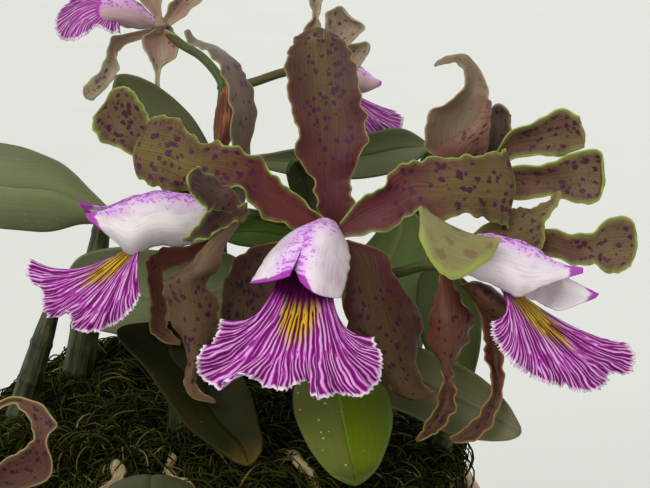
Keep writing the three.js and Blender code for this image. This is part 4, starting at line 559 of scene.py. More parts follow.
LEAVES = {
  "leaf_far_left": { "colour": "leafGrey", "ribs": [
    [[-53.2, 8, 49], [-53.4, 6.5, 48], [-53.8, 5, 49]],
    [[-58.8, 13.5, 49], [-59.2, 9.5, 46], [-60.8, 5, 48]],
    [[-65.8, 20, 48], [-67.5, 13, 44], [-69.2, 3.2, 47]],
    [[-76.2, 24.2, 46], [-78.8, 14, 42], [-81.2, 4, 46]],
    [[-86.2, 25.5, 45], [-87.5, 15.2, 42], [-89.2, 5.5, 45]],
    [[-96.2, 24.5, 45], [-96.8, 17.2, 43], [-97.2, 9.8, 45]],
    [[-103.2, 20, 45], [-103.8, 18, 45], [-103.8, 16, 45]],
  ] },
  "leaf_back_left": { "colour": "leafDark", "ribs": [
    [[-25.8, 4.8, 41], [-27.2, 4, 42], [-28.4, 3.5, 41]],
    [[-27.2, 19.8, 40], [-31.8, 16, 43], [-36.8, 12, 40]],
    [[-32.5, 30.5, 39], [-38.2, 25.5, 42], [-44.2, 21, 39]],
    [[-39.8, 38, 38], [-45, 33, 41], [-50.2, 28, 38]],
    [[-46.2, 41.5, 37], [-50.2, 38, 39], [-53.2, 34.5, 37]],
    [[-50.8, 42.8, 37], [-52, 42, 37], [-53, 40, 37]],
  ] },
  "leaf_behind_middle": { "colour": "leafGrey", "ribs": [
    [[25.8, 25.4, 34], [26.2, 24.2, 34], [25.8, 23, 34]],
    [[18.8, 28.8, 32], [19.2, 24, 35], [19.8, 19, 32]],
    [[8.8, 27, 31], [9.2, 22, 34], [9.8, 16.5, 31]],
    [[-1.2, 25, 31], [-1.2, 21, 34], [-1.2, 16.5, 31]],
    [[-11.2, 23, 31], [-11.2, 20.5, 33], [-11.2, 18, 31]],
    [[-18.8, 22, 32], [-19.2, 21, 32], [-18.8, 19.8, 32]],
  ] },
  "leaf_beside_dorsal": { "colour": "leafDark", "ribs": [
    [[-2.6, 2.6, 29], [-3.4, 2.2, 30], [-4.2, 2.2, 29]],
    [[-1.2, 13.5, 29], [-4.2, 12.2, 31], [-7.8, 11, 29]],
    [[-3.2, 19.5, 27], [-6.2, 18.5, 29], [-9.2, 16, 27]],
    [[-6.2, 21.5, 26], [-8.2, 20.5, 26], [-9.8, 18.5, 26]],
  ] },
  "leaf_short_left": { "colour": "leafBright", "ribs": [
    [[-5.2, 2, 26], [-5.2, 0.8, 27], [-5.2, -0.5, 26]],
    [[-10, 5.5, 25], [-9.8, 2, 27], [-10.2, -1, 25]],
    [[-16.2, 7, 24], [-16.8, 3, 26], [-17.2, -0.8, 24]],
    [[-21.8, 5.5, 24], [-22.2, 2.8, 26], [-22.2, 0, 24]],
    [[-25.8, 3, 25], [-26.2, 2, 25], [-25.8, 1, 25]],
  ] },
  "leaf_behind_left_bloom": { "colour": "leafGrey", "ribs": [
    [[-66.2, -11, 32], [-66.6, -12.4, 32], [-66.2, -14, 32]],
    [[-61.5, -3.5, 30], [-62, -11.5, 33], [-62.5, -19.5, 30]],
    [[-51.2, -0.8, 29], [-51.8, -11.5, 33], [-52.2, -22.5, 29]],
    [[-41.2, -1.8, 29], [-41.2, -13, 33], [-41.2, -24.5, 29]],
    [[-31.2, -1.5, 31], [-31.2, -12, 34], [-31.8, -24.5, 31]],
    [[-23.2, -3, 31.5], [-23, -10, 34], [-23.4, -18.5, 31.5]],
    [[-18.5, -7.5, 33], [-18.2, -9.5, 33.5], [-18.8, -11.5, 33]],
  ] },
  "leaf_front_down": { "colour": "leafDark", "ribs": [
    [[-36, -19, 9], [-34, -19.4, 9.5], [-32, -19.8, 9]],
    [[-51.8, -21.5, 4], [-38.8, -26.5, 7], [-25, -26.5, 4]],
    [[-44.2, -32, 0], [-32.5, -35, 3.5], [-20.5, -33.5, 0]],
    [[-34.2, -45.8, -5], [-25.8, -45, -2], [-17.5, -42, -5]],
    [[-26.2, -52, -8], [-20.8, -50.5, -6], [-15.8, -48.5, -8]],
    [[-21.2, -55.5, -9], [-18.8, -55.5, -9], [-15.8, -53.5, -9]],
  ] },
  "leaf_front_bright": { "colour": "leafBright", "ribs": [
    [[1, -28.6, 11], [2.8, -28.4, 11.5], [4.6, -28.6, 11]],
    [[-7.2, -35.2, 3], [3.2, -34, 5], [14.2, -35.2, 3]],
    [[-7.8, -41.5, -5], [4.2, -42, -3], [16.8, -41.5, -5]],
    [[-4.8, -49, -11], [5.8, -50, -9], [16.2, -47.5, -11]],
    [[0.2, -56.5, -16], [7.2, -56.5, -15], [13.8, -54.5, -16]],
    [[3.8, -59, -18], [7.5, -60, -18], [10.8, -58.5, -18]],
  ] },
  "leaf_right": { "colour": "leafGrey", "ribs": [
    [[11.8, -28.4, 18], [12.2, -29.8, 18.5], [11.8, -31.2, 18]],
    [[18.8, -25.2, 14], [17.8, -32.5, 17], [14.8, -39.5, 13]],
    [[28.8, -28, 12], [26.2, -35.5, 15.5], [21.8, -43, 12]],
    [[38.2, -33, 10.5], [35.2, -40, 14], [31.8, -47.5, 10.5]],
    [[45.2, -39.5, 9.5], [43.2, -44, 11], [40.2, -49.2, 9.5]],
    [[49, -46, 8], [48.8, -47.5, 8], [47.2, -49, 8]],
  ] },
  "leaf_upright_right": { "colour": "leafDark", "ribs": [
    [[33.8, -35.2, 26], [35.2, -35.6, 26.5], [36.6, -35.2, 26]],
    [[25.5, -26.5, 24.5], [32.5, -27.5, 28], [38.5, -26.5, 25]],
    [[23.2, -17, 22.5], [31.5, -17, 26], [38.8, -17, 23]],
    [[23.4, -9.5, 20.5], [29.5, -9, 23.5], [35.8, -10.5, 21]],
    [[25.8, -4.5, 20], [27.8, -3.8, 20], [30.2, -4.8, 20]],
  ] },
  "leaf_behind_right": { "colour": "leafMid", "ribs": [
    [[16.4, -24, 33.5], [17.8, -24.5, 34], [19.2, -24, 33.5]],
    [[6.2, -19.5, 31], [15, -18.5, 34], [23.8, -16, 31]],
    [[4.6, -8, 29.5], [15, -7, 32.5], [25.2, -6, 29]],
    [[13.2, 3, 28], [18.8, 3.5, 31], [24.8, 3.5, 28]],
    [[16.8, 8.5, 27], [19.2, 9.5, 28], [22.2, 8.5, 27]],
  ] },
  "leaf_over_rim": { "colour": "leafDark", "ribs": [
    [[-44, -65.5, -12], [-43.2, -65.5, -12], [-42.4, -65.5, -12]],
    [[-45.2, -61, -17], [-43.2, -60.6, -16], [-41, -61, -17]],
    [[-52.2, -59.8, -25], [-43.4, -58.4, -26], [-34.2, -59.8, -25]],
    [[-55.2, -66.5, -40], [-43.8, -66, -42], [-31.8, -66.5, -40]],
    [[-53.2, -76.2, -50], [-43.8, -77, -50], [-34.2, -76.2, -50]],
    [[-46.2, -85, -53], [-43.8, -86, -53], [-41.2, -85, -53]],
  ] },
}
BULBS = {
  "pseudobulbs_left": [
    { "top": [-55.4, 6.4, 49], "foot": [-42, 6], "radius": 4.2 },
    { "top": [-67, -12.6, 32.4], "foot": [-57, -14], "radius": 3.4 },
  ],
  "pseudobulbs_back": [
    { "top": [-27, 3.6, 42], "foot": [0, 12], "radius": 4.6 },
    { "top": [-3.6, 1.4, 28], "foot": [26, 8], "radius": 4.6 },
    { "top": [26.6, 23.8, 35.6], "foot": [52, 20], "radius": 4.4 },
  ],
  "pseudobulbs_right": [
    { "top": [17.8, -25, 34.4], "foot": [44, -2], "radius": 4 },
    { "top": [35.2, -36.2, 26.6], "foot": [56, -14], "radius": 3.6 },
  ],
  "pseudobulbs_front": [
    { "top": [-34, -19, 10.4], "foot": [-6, -26], "radius": 4.4 },
    { "top": [2.8, -28, 12.4], "foot": [28, -32], "radius": 4 },
    { "top": [11.4, -29.6, 18], "foot": [38, -22], "radius": 4 },
  ],
}
STEMS = {
  "flower_stem_back": { "radius": 1.6, "runs": [
    [[-26.6, 3, 41.6], [-25.8, 12, 43], [-26, 25, 44], [-26, 34, 46], [-25.8, 40, 48], [-30.5, 46.5, 53],
      [-36, 50, 57], BACK_LEFT_BASE],
    [[-25.8, 37, 47], [-22, 39.4, 47], [-18, 40.4, 46], [-9.8, 43, 45], [-4, 43.4, 46], BACK_MIDDLE_BASE],
  ] },
  "flower_stem_front": { "radius": 1.7, "runs": [
    [[-3.2, 1, 27.4], [0, 2, 23], [1.6, 2.8, 16], MIDDLE_BASE],
    [[0, 2, 23], [-6, 4.6, 20], [-14, 6.6, 14], [-18.6, 7.6, 8], LEFT_BASE],
    [[0, 2, 23], [7, -5, 23], [16, -7.4, 19], [25, -5.4, 12], RIGHT_BASE],
    [[0, 2, 23], [12, 6, 26], [26, 12, 26], BACK_RIGHT_BASE],
  ] },
}


def seen(places):
    """Places given as right, up and back across the view, in the row's own millimetres."""
    right, up, back = np.moveaxis(np.asarray(places, float), -1, 0)
    spread = 1 + back / VIEW_DISTANCE
    rise = up * spread
    return np.stack([
        VIEW_POINT[0] + right * spread,
        VIEW_POINT[1] + rise * math.sin(VIEW_TILT) + back * math.cos(VIEW_TILT),
        VIEW_POINT[2] + rise * math.cos(VIEW_TILT) - back * math.sin(VIEW_TILT),
    ], axis=-1)


def along_curve(points, shares):
    """Points of a centripetal Catmull-Rom curve at shares of its length in segments."""
    points = np.asarray(points, float)
    count = len(points)
    padded = np.vstack([2 * points[0] - points[1], points, 2 * points[-1] - points[-2]])
    place = np.clip(np.asarray(shares, float), 0, 1) * (count - 1)
    low = np.minimum(place.astype(int), count - 2)
    w = (place - low)[:, None]
    a, b, c, d = (padded[low + k] for k in range(4))
    gaps = [np.sqrt(np.linalg.norm(q - p, axis=1))[:, None] for p, q in ((a, b), (b, c), (c, d))]
    middle = np.maximum(gaps[1], 1e-4)
    first = np.where(gaps[0] < 1e-4, middle, gaps[0])
    last = np.where(gaps[2] < 1e-4, middle, gaps[2])
    start = ((b - a) / first - (c - a) / (first + middle) + (c - b) / middle) * middle
    end = ((c - b) / middle - (d - b) / (middle + last) + (d - c) / last) * middle
    return b + start * w + (3 * (c - b) - 2 * start - end) * w ** 2 + (2 * (b - c) + start + end) * w ** 3


def rails_of(ribs):
    """Left edge, middle and right edge of a tepal, each as places from its foot to its tip."""
    return [[rib[side] for rib in ribs] for side in range(3)]


def shifted(points, shift):
    return [[value + move for value, move in zip(point, shift)] for point in points]


def inside_box(spots):
    """Points in metres, held just inside the box of the solids."""
    return np.clip(spots, np.array(cad_box[0]) + BOX_MARGIN, np.array(cad_box[1]) - BOX_MARGIN)


def unit(vectors):
    return vectors / np.maximum(np.linalg.norm(vectors, axis=-1, keepdims=True), 1e-9)


def chorus(shares, waves, seed):
    """Three seeded sines added up, between -1 and 1: the first has about that many waves, the rest more."""
    draw = np.random.default_rng(seed)
    total = np.zeros_like(shares)
    for k in range(3):
        pace = waves * draw.uniform(0.75, 1.35) * (1 + 0.55 * k)
        total += np.sin(2 * np.pi * (pace * shares + draw.uniform())) / (1 + 0.8 * k)
    return total / sum(1 / (1 + 0.8 * k) for k in range(3))


def headings(grid):
    """Unit vectors along a grid, across it and out of it."""
    ahead = unit(np.gradient(grid, axis=0))
    over = unit(np.gradient(grid, axis=1))
    return ahead, over, unit(np.cross(ahead, over))


def grid_between(rails, rows, columns):
    """Shares along and across, and the surface laid through left, middle and right rails."""
    s = np.linspace(0, 1, rows + 1)
    v = np.linspace(0, 1, columns + 1)
    left, middle, right = (along_curve(seen(places), s)[:, None] for places in rails)
    w = v[None, :, None]
    grid = left * (1 - w) * (1 - 2 * w) + middle * 4 * w * (1 - w) + right * w * (2 * w - 1)
    return s[:, None] + 0 * v, v[None] + 0 * s[:, None], grid


def measure(grid):
    """Millimetres along the middle line and across from it, for every place of a grid."""
    middle = grid.shape[1] // 2
    steps = np.linalg.norm(np.diff(grid[:, middle], axis=0), axis=1)
    along = np.concatenate([[0], np.cumsum(steps)])
    widths = np.linalg.norm(np.diff(grid, axis=1), axis=2)
    across = np.concatenate([np.zeros((len(grid), 1)), np.cumsum(widths, axis=1)], axis=1)
    across -= across[:, middle:middle + 1]
    return along[:, None] + 0 * across, across


def slab(grid, half, lie, place, tint):
    """A thin closed sheet round a grid: points, faces and the two pattern vectors."""
    turn = headings(grid)[2]
    sign = 1 if turn[..., 1].mean() < 0 else -1
    rows, columns = grid.shape[0] - 1, grid.shape[1] - 1
    row = columns + 1
    rear = (rows + 1) * row
    points = np.concatenate([(grid + turn * half).reshape(-1, 3), (grid - turn * half).reshape(-1, 3)])
    a = (np.arange(rows)[:, None] * row + np.arange(columns)).ravel()
    b = a + row
    quads = [np.stack([a, b, b + 1, a + 1], 1), rear + np.stack([a, a + 1, b + 1, b], 1)]
    low = np.arange(rows) * row
    high = low + columns
    quads.append(np.stack([low + row, low, rear + low, rear + low + row], 1))
    quads.append(np.stack([high, high + row, rear + high + row, rear + high], 1))
    foot = np.arange(columns)
    head = rows * row + foot
    quads.append(np.stack([foot, foot + 1, rear + foot + 1, rear + foot], 1))
    quads.append(np.stack([head + 1, head, rear + head, rear + head + 1], 1))
    flat = lie.reshape(-1, 2)
    sides = [np.column_stack([flat, np.full(len(flat), float(k * sign))]) for k in (1, -1)]
    twice = np.concatenate([place.reshape(-1, 3)] * 2)
    return points, np.concatenate(quads), np.concatenate(sides), twice, tint


def petal(ribs, rows=84, columns=28, thickness=TEPAL_THICKNESS, wave=0.0, waves=5, ruffle=1.0,
          ruffle_pitch=7.5, scallop=0.75, scallop_pitch=6.5, groove=0.0, blunt=0.28, seed=1, tint=0):
    """One tepal or leaf: the solid's own surface with finer waves along its margins and a rounded end.

    Waves, ruffles, scallops and the groove are heights in millimetres, and a pitch is a length along it.
    """
    s, v, grid = grid_between(rails_of(ribs), rows, columns)
    ahead, over, turn = headings(grid)
    length = measure(grid)[0][-1, 0]
    ruffles = length / ruffle_pitch
    scallops = length / scallop_pitch
    reach = 2 * v - 1
    fade = np.sin(np.pi * np.clip(s, 0, 1)) ** 0.6
    beat = np.where(reach < 0, chorus(s, ruffles, seed), chorus(s, ruffles, seed + 1))
    nibble = np.where(reach < 0, chorus(s, scallops, seed + 2), chorus(s, scallops, seed + 3))
    lift = wave * reach ** 2 * np.sin(2 * np.pi * waves * s + 2 * v) * np.sin(np.pi * s)
    lift = lift + ruffle * np.abs(reach) ** 3 * beat * fade
    lift = lift - groove * np.exp(-(reach / GROOVE_SHARE) ** 2) * fade
    edge = np.sign(reach) * scallop * reach ** 6 * nibble * fade
    grid = grid + turn * lift[..., None] + over * edge[..., None]
    end_width = np.linalg.norm(grid[-1, -1] - grid[-1, 0])
    pull = min(blunt * end_width, length / 9)
    last_part = np.clip(s - 1 + ROUNDED_SHARE, 0, 1) / ROUNDED_SHARE
    grid = grid - ahead * (pull * reach ** 2 * last_part ** 2)[..., None]
    along, across = measure(grid)
    sides = np.minimum(across - across[:, :1], across[:, -1:] - across)
    rim = np.minimum(sides, along[-1:] - along + 0.3)
    half = (0.5 * thickness * (1 - 0.62 * reach ** 4))[..., None]
    draw = np.random.default_rng(seed)
    lie = np.stack([across + draw.uniform(20, 400), along + draw.uniform(20, 400)], -1)
    place = np.stack([s, reach, rim], -1)
    return slab(grid, half, lie, place, tint)


def lobe(ribs, seed, rows=60, columns=28, tint=0):
    """A side lobe of a lip: thin, nearly smooth and square at its open end."""
    return petal(ribs, rows, columns, LIP_THICKNESS, ruffle=0.25, scallop=0.1, blunt=0, seed=seed, tint=tint)


def frill(rails, rows, columns, seed, folds=13, fold=0.9, tooth=0.9, teeth=60):
    """The ruffled fan of a lip: its rim is folded, crimped and cut into fine teeth."""
    s, v, grid = grid_between(rails, rows, columns)
    over, turn = headings(grid)[1:]
    lift = fold * v ** 2 * chorus(s, folds, seed) + CRIMP * v ** 5 * chorus(s, CRIMPS, seed + 1)
    cut = tooth * v ** 9 * (0.5 * chorus(s, teeth, seed + 2) - 0.5)
    grid = grid + turn * lift[..., None] + over * cut[..., None]
    lengths = np.linalg.norm(np.diff(grid, axis=1), axis=2)
    out = np.concatenate([np.zeros((rows + 1, 1)), np.cumsum(lengths, axis=1)], axis=1)
    half = (0.5 * LIP_THICKNESS * (1 - 0.7 * v ** 3))[..., None]
    lie = np.stack([s * FAN_SPREAD + 7 * seed, out], -1)
    place = np.stack([s, v, out[:, -1:] - out], -1)
    return slab(grid, half, lie, place, 0)


def ring_faces(bands, count):
    """Four-cornered faces between rings of count points each, band after band."""
    k = np.arange(count)
    after = (k + 1) % count
    return [np.stack([i * count + k, i * count + after, (i + 1) * count + after, (i + 1) * count + k], 1)
            for i in range(bands)]


def tube(places, radii, sides=20, steps=60, ribs=0, rib=0.0, rings=(), ring=0.0, seed=1, tint=0):
    """A round stem along places, with closed ends, lengthwise ribs and swollen joints."""
    s = np.linspace(0, 1, steps + 1)
    middle = along_curve(places, s)
    ahead = unit(np.gradient(middle, axis=0))
    side = np.zeros_like(ahead)
    side[0] = unit(np.cross((0.13, 1, 0.07), ahead[0]))
    for i in range(1, steps + 1):
        turned = side[i - 1] - ahead[i] * (side[i - 1] @ ahead[i])
        side[i] = unit(turned)
    over = np.cross(ahead, side)
    radius = np.interp(s, np.linspace(0, 1, len(radii)), radii)
    radius = radius + sum(ring * np.exp(-((s - at) / 0.012) ** 2) for at in rings)
    angle = 2 * np.pi * np.arange(sides) / sides
    swell = radius[:, None] * (1 + rib * np.cos(ribs * angle + 2 * s[:, None]))
    points = (middle[:, None] + side[:, None] * (swell * np.cos(angle))[..., None]
              + over[:, None] * (swell * np.sin(angle))[..., None]).reshape(-1, 3)
    ends = np.array([middle[0] - ahead[0] * radius[0] * 0.3, middle[-1] + ahead[-1] * radius[-1] * 0.5])
    k = np.arange(sides)
    nxt = (k + 1) % sides
    faces = ring_faces(steps, sides)
    first = (steps + 1) * sides
    caps = [[first, b, a, a] for a, b in zip(k, nxt)]
    caps += [[first + 1, steps * sides + a, steps * sides + b, steps * sides + b] for a, b in zip(k, nxt)]
    steps_long = np.concatenate([[0], np.cumsum(np.linalg.norm(np.diff(middle, axis=0), axis=1))])
    around = angle / (2 * np.pi)
    lie = np.stack([np.cos(angle)[None] * radius[:, None] + 30 * seed, steps_long[:, None] + 0 * around,
                    np.sin(angle)[None] * radius[:, None]], -1).reshape(-1, 3)
    length_share, turn_share = np.meshgrid(s, around, indexing="ij")
    place = np.stack([length_share, turn_share, 0 * turn_share + 5], -1).reshape(-1, 3)
    lie = np.vstack([lie, lie[0], lie[-1]])
    place = np.vstack([place, place[0], place[-1]])
    return np.vstack([points, ends]), np.concatenate(faces + [np.array(caps)]), lie, place, tint


def lathe(profile, segments):
    """A turned shape whose profile starts and ends on the axis."""
    profile = np.asarray(profile, float)
    angle = 2 * np.pi * np.arange(segments) / segments
    ring = np.stack([np.cos(angle), np.sin(angle)], -1)
    points = np.concatenate([np.column_stack([ring * radius, np.full(segments, height)])
                             for radius, height in profile[1:-1]])
    rings = len(profile) - 2
    k = np.arange(segments)
    nxt = (k + 1) % segments
    faces = ring_faces(rings - 1, segments)
    first = rings * segments
    last = (rings - 1) * segments
    faces.append(np.stack([np.full(segments, first), nxt, k, k], 1))
    faces.append(np.stack([np.full(segments, first + 1), last + k, last + nxt, last + nxt], 1))
    points = np.vstack([points, [0, 0, profile[0][1]], [0, 0, profile[-1][1]]])
    return points, np.concatenate(faces), points, points, 0


def joined(name, parts):
    """One mesh of several parts, with each part's finish number and its two pattern vectors."""
    points, corners, starts, tints, lies, places = [], [], [], [], [], []
    base = 0
    for part_points, faces, lie, place, tint in parts:
        for face in (faces + base).tolist():
            starts.append(len(corners))
            corners.extend(dict.fromkeys(face))
        tints.extend([tint] * len(faces))
        points.append(part_points)
        lies.append(lie)
        places.append(place)
        base += len(part_points)
    spots = inside_box(np.concatenate(points) * MM)
    mesh = bpy.data.meshes.new(name)
    mesh.vertices.add(len(spots))
    mesh.vertices.foreach_set("co", spots.ravel())
    mesh.loops.add(len(corners))
    mesh.loops.foreach_set("vertex_index", corners)
    mesh.polygons.add(len(starts))
    mesh.polygons.foreach_set("loop_start", starts)
    mesh.polygons.foreach_set("material_index", tints)
    mesh.polygons.foreach_set("use_smooth", [True] * len(starts))
    mesh.update(calc_edges=True)
    mesh.validate()
    for label, values in (("lie", lies), ("place", places)):
        attribute = mesh.attributes.new(label, "FLOAT_VECTOR", "POINT")
        attribute.data.foreach_set("vector", np.concatenate(values).astype(np.float32).ravel())
    return mesh


def linked(name, data):
    """A new object in the scene."""
    obj = bpy.data.objects.new(name, data)
    bpy.context.scene.collection.objects.link(obj)
    return obj


def hand_over(name, mesh, nodes):
    """Makes a mesh a piece that stands for its solids and rides on the row's one body."""
    obj = linked(name, mesh)
    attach(obj, "root")
    if nodes:
        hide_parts(*nodes)


def piece(name, parts, paints, nodes):
    """Joins parts into one piece with its finishes."""
    mesh = joined(name, parts)
    for paint in paints:
        mesh.materials.append(paint)
    hand_over(name, mesh, nodes)


def tone(red, green, blue):
    """A colour as it is seen on a screen, 0 to 255, in the renderer's own linear light."""
    return tuple(((c / 255) / 12.92 if c < 11 else (((c / 255) + 0.055) / 1.055) ** 2.4)
                 for c in (red, green, blue)) + (1.0,)


class Value:
    """A socket in a material, with arithmetic."""

    def __init__(self, paint, socket):
        self.paint = paint
        self.socket = socket

    def math(self, operation, *others):
        sockets = {0: self}
        sockets.update({k + 1: other for k, other in enumerate(others)})
        return self.paint.node("ShaderNodeMath", {"operation": operation}, sockets)

    def __add__(self, other):
        return self.math("ADD", other)

    __radd__ = __add__

    def __mul__(self, other):
        return self.math("MULTIPLY", other)

    __rmul__ = __mul__

    def __sub__(self, other):
        return self.math("SUBTRACT", other)

    def __rsub__(self, other):
        return self.math("MULTIPLY_ADD", -1.0, other)

    def __truediv__(self, other):
        return self.math("DIVIDE", other)

    def __abs__(self):
        return self.math("ABSOLUTE")

    def least(self, other):
        return self.math("MINIMUM", other)

    def most(self, other):
        return self.math("MAXIMUM", other)

    def wave(self):
        """A cosine of this value, in turns."""
        return (self * (2 * math.pi)).math("COSINE")

    def smooth(self, low, high):
        """0 below low, 1 above high and a soft step between; low above high turns it round."""
        if low > high:
            return 1 - self.smooth(high, low)
        settings = {"interpolation_type": "SMOOTHSTEP", "clamp": True}
        return self.paint.node("ShaderNodeMapRange", settings, {0: self, 1: low, 2: high, 3: 0.0, 4: 1.0})


class Paint:
    """One material and its nodes."""

    def __init__(self, name):
        self.material = bpy.data.materials.new(name)
        self.material.use_nodes = True
        self.tree = self.material.node_tree
        self.tree.nodes.clear()

    def node(self, kind, settings, sockets, output=0):
        made = self.tree.nodes.new(kind)
        for key, value in settings.items():
            setattr(made, key, value)
        for key, value in sockets.items():
            if isinstance(value, Value):
                self.tree.links.new(value.socket, made.inputs[key])
            else:
                made.inputs[key].default_value = value
        return None if output is None else Value(self, made.outputs[output])

    def split(self, vector):
        made = self.node("ShaderNodeSeparateXYZ", {}, {0: vector}).socket.node
        return [Value(self, made.outputs[k]) for k in range(3)]

    def attribute(self, name):
        return self.split(self.node("ShaderNodeAttribute", {"attribute_name": name}, {}, output=1))

    def object_place(self):
        return self.node("ShaderNodeTexCoord", {}, {}, output=3)

    def at(self, x=0.0, y=0.0, z=0.0):
        return self.node("ShaderNodeCombineXYZ", {}, {0: x, 1: y, 2: z})

    def noise(self, vector, scale=1.0, detail=2.0, roughness=0.5):
        return self.node("ShaderNodeTexNoise", {}, {"Vector": vector, "Scale": scale, "Detail": detail,
                                                    "Roughness": roughness})

    def cells(self, vector):
        """Distance to the nearest seeded point, and a random number for its cell."""
        distance = self.node("ShaderNodeTexVoronoi", {}, {"Vector": vector, "Scale": 1.0})
        return distance, self.split(Value(self, distance.socket.node.outputs[1]))[0]

    def mix(self, first, second, share):
        return self.node("ShaderNodeMix", {"data_type": "RGBA"}, {0: share, 6: first, 7: second}, output=2)

    def scale(self, colour, factor):
        if isinstance(colour, tuple):
            colour = colour[:3]
        return self.node("ShaderNodeVectorMath", {"operation": "SCALE"}, {0: colour, 3: factor})

    def bump(self, height, distance=0.0003, strength=0.6):
        return self.node("ShaderNodeBump", {}, {"Strength": strength, "Distance": distance, "Height": height})

    def finish(self, colour, roughness, normal=None, **constants):
        sockets = {"Base Color": colour, "Roughness": roughness}
        if normal is not None:
            sockets["Normal"] = normal
        sockets.update({key.replace("_", " "): value for key, value in constants.items()})
        shader = self.node("ShaderNodeBsdfPrincipled", {}, sockets)
        self.node("ShaderNodeOutputMaterial", {}, {0: shader}, output=None)
        return self.material


class TepalPaint(Paint):
    """The patterns that a tepal's finish is made of."""

    def __init__(self, name):
        super().__init__(name)
        self.x, self.y, self.side = self.attribute("lie")
        self.s, self.v, self.rim = self.attribute("place")
        self.front = self.side.smooth(-0.2, 0.2)
        self.drift = self.noise(self.at(self.x * 0.11, self.y * 0.09), detail=3.0)
        self.fibre = self.noise(self.at(self.x * 2.6, self.y * 0.12), detail=3.0)
        self.vein = self.noise(self.at(self.x * 1.1, self.y * 0.05, 3.0), detail=1.0)
        self.lines = self.noise(self.at(self.x * 4.5, self.y * 0.08, 17.0), detail=1.0)

    def body(self, foot, tip, centre, turn, middle, middle_zone, mottle, sheen):
        """The face: two body colours, a centre stripe, a painted sheen near the end, a dusty-looking grey
        highlight, and fine shading.
        """
        colour = self.mix(tone(*foot), tone(*tip), (self.s + (self.drift - 0.5) * 0.8).smooth(*turn))
        line = (abs(self.v) + (self.drift - 0.5) * 0.9).smooth(0.75, 0.1) * middle
        line = line * (self.s + (self.vein - 0.5) * 0.2).smooth(*middle_zone)
        colour = self.mix(colour, tone(*centre), line)
        if sheen is not None:
            # Painted sheen: a pale grey patch near the end that stands for a highlight, mottled along the
            # fibres.
            pale_marks = self.s.smooth(0.86, 0.95) * abs(self.v).smooth(0.75, 0.2)
            pale_marks = pale_marks * (self.drift + (self.fibre - 0.5) * 0.8).smooth(0.3, 0.55)
            colour = self.mix(colour, tone(*sheen), pale_marks * 0.8)
        shade = 0.97 + (self.fibre - 0.5) * 0.7 + (self.lines - 0.5) * 0.5
        return self.scale(colour, shade + (self.drift - 0.5) * mottle * 1.6)

    def spots(self, pitch, amount, zone, fade, streaks):
        """Spots in rows, freckles and rim streaks of the front, and the spots that show through behind."""
        x, y, s, rim = self.x, self.y, self.s, self.rim
        warp_x = self.noise(self.at(x * 0.75, y * 0.7, 7.0)) - 0.5
        warp_y = self.noise(self.at(x * 0.8, y * 0.75, 11.0)) - 0.5
        layer = self.side * 4.0
        spots, draw = self.cells(self.at(x / pitch[0] + warp_x * 0.8, y / pitch[1] + warp_y * 0.8, layer))
        clump = self.noise(self.at(x * 0.16, y * 0.16, 5.0)).smooth(0.32, 0.55)
        where = s.smooth(*zone) * abs(self.v).smooth(*fade) * rim.smooth(0.4, 1.6)
        size = ((0.5 + draw * 0.8) * amount * (0.55 + clump * 0.6)).least(0.4) * where
        spotted = (spots - size).smooth(0.07, -0.07)
        dots, chance = self.cells(self.at(x / 0.95 + warp_y, y / 1.1 + warp_x, layer + 9.0))
        freckle = (dots - 0.2 * where * chance.smooth(0.55, 0.8)).smooth(0.05, -0.06) * 0.75
        radial = self.noise(self.at(y * 1.9, rim * 0.25, 13.0)).smooth(0.5, 0.62)
        band = rim.smooth(0.4, 1.0) * rim.smooth(3.2, 1.4)
        streak = radial * band * streaks * s.smooth(0.3, 0.6) * self.front
        return (spotted.most(freckle) * self.front).most(streak), (spots - size * 0.9).smooth(0.16, -0.05)

    def border(self, edge, halo):
        """The pale margin and the glow inside it."""
        glow = (self.rim + (self.fibre - 0.5) * 1.2).smooth(edge * 4.0, edge * 0.6) * halo
        lip = (self.rim + (self.drift - 0.5) * 0.7).smooth(edge, edge * 0.3)
        return glow.most(lip * 0.75)


def tepal_paint(name, foot, tip, centre, margin, spot, rear, pitch=(1.9, 2.2), amount=0.3, zone=(0.1, 0.3),
                fade=(1.3, 0.9), edge=0.4, turn=(0.3, 0.75), middle=0.5, middle_zone=(-0.2, -0.1),
                streaks=0.1, mottle=0.3, sheen=None, halo=0.1):
    """Spotted tepals: two body colours, a centre stripe, dark spots in rows, streaks and a pale margin."""
    paint = TepalPaint(name)
    colour = paint.body(foot, tip, centre, turn, middle, middle_zone, mottle, sheen)
    spotted, shown_behind = paint.spots(pitch, amount, zone, fade, streaks)
    colour = paint.mix(colour, tone(*spot), spotted * 0.93)
    behind = paint.scale(tone(*rear), 1.0 + (paint.fibre - 0.5) * 0.6 + (paint.drift - 0.5) * 0.4)
    behind = paint.mix(behind, tone(*spot), shown_behind * 0.4)
    colour = paint.mix(behind, colour, paint.front)
    colour = paint.mix(colour, tone(*margin), paint.border(edge, halo))
    height = paint.fibre * 0.6 + paint.lines * 0.5 + paint.vein * 0.9 - spotted * 0.3
    return paint.finish(colour, TEPAL_ROUGHNESS + (paint.fibre - 0.5) * 0.25,
                        paint.bump(height, 0.00025, 0.8), Specular_IOR_Level=0.2)


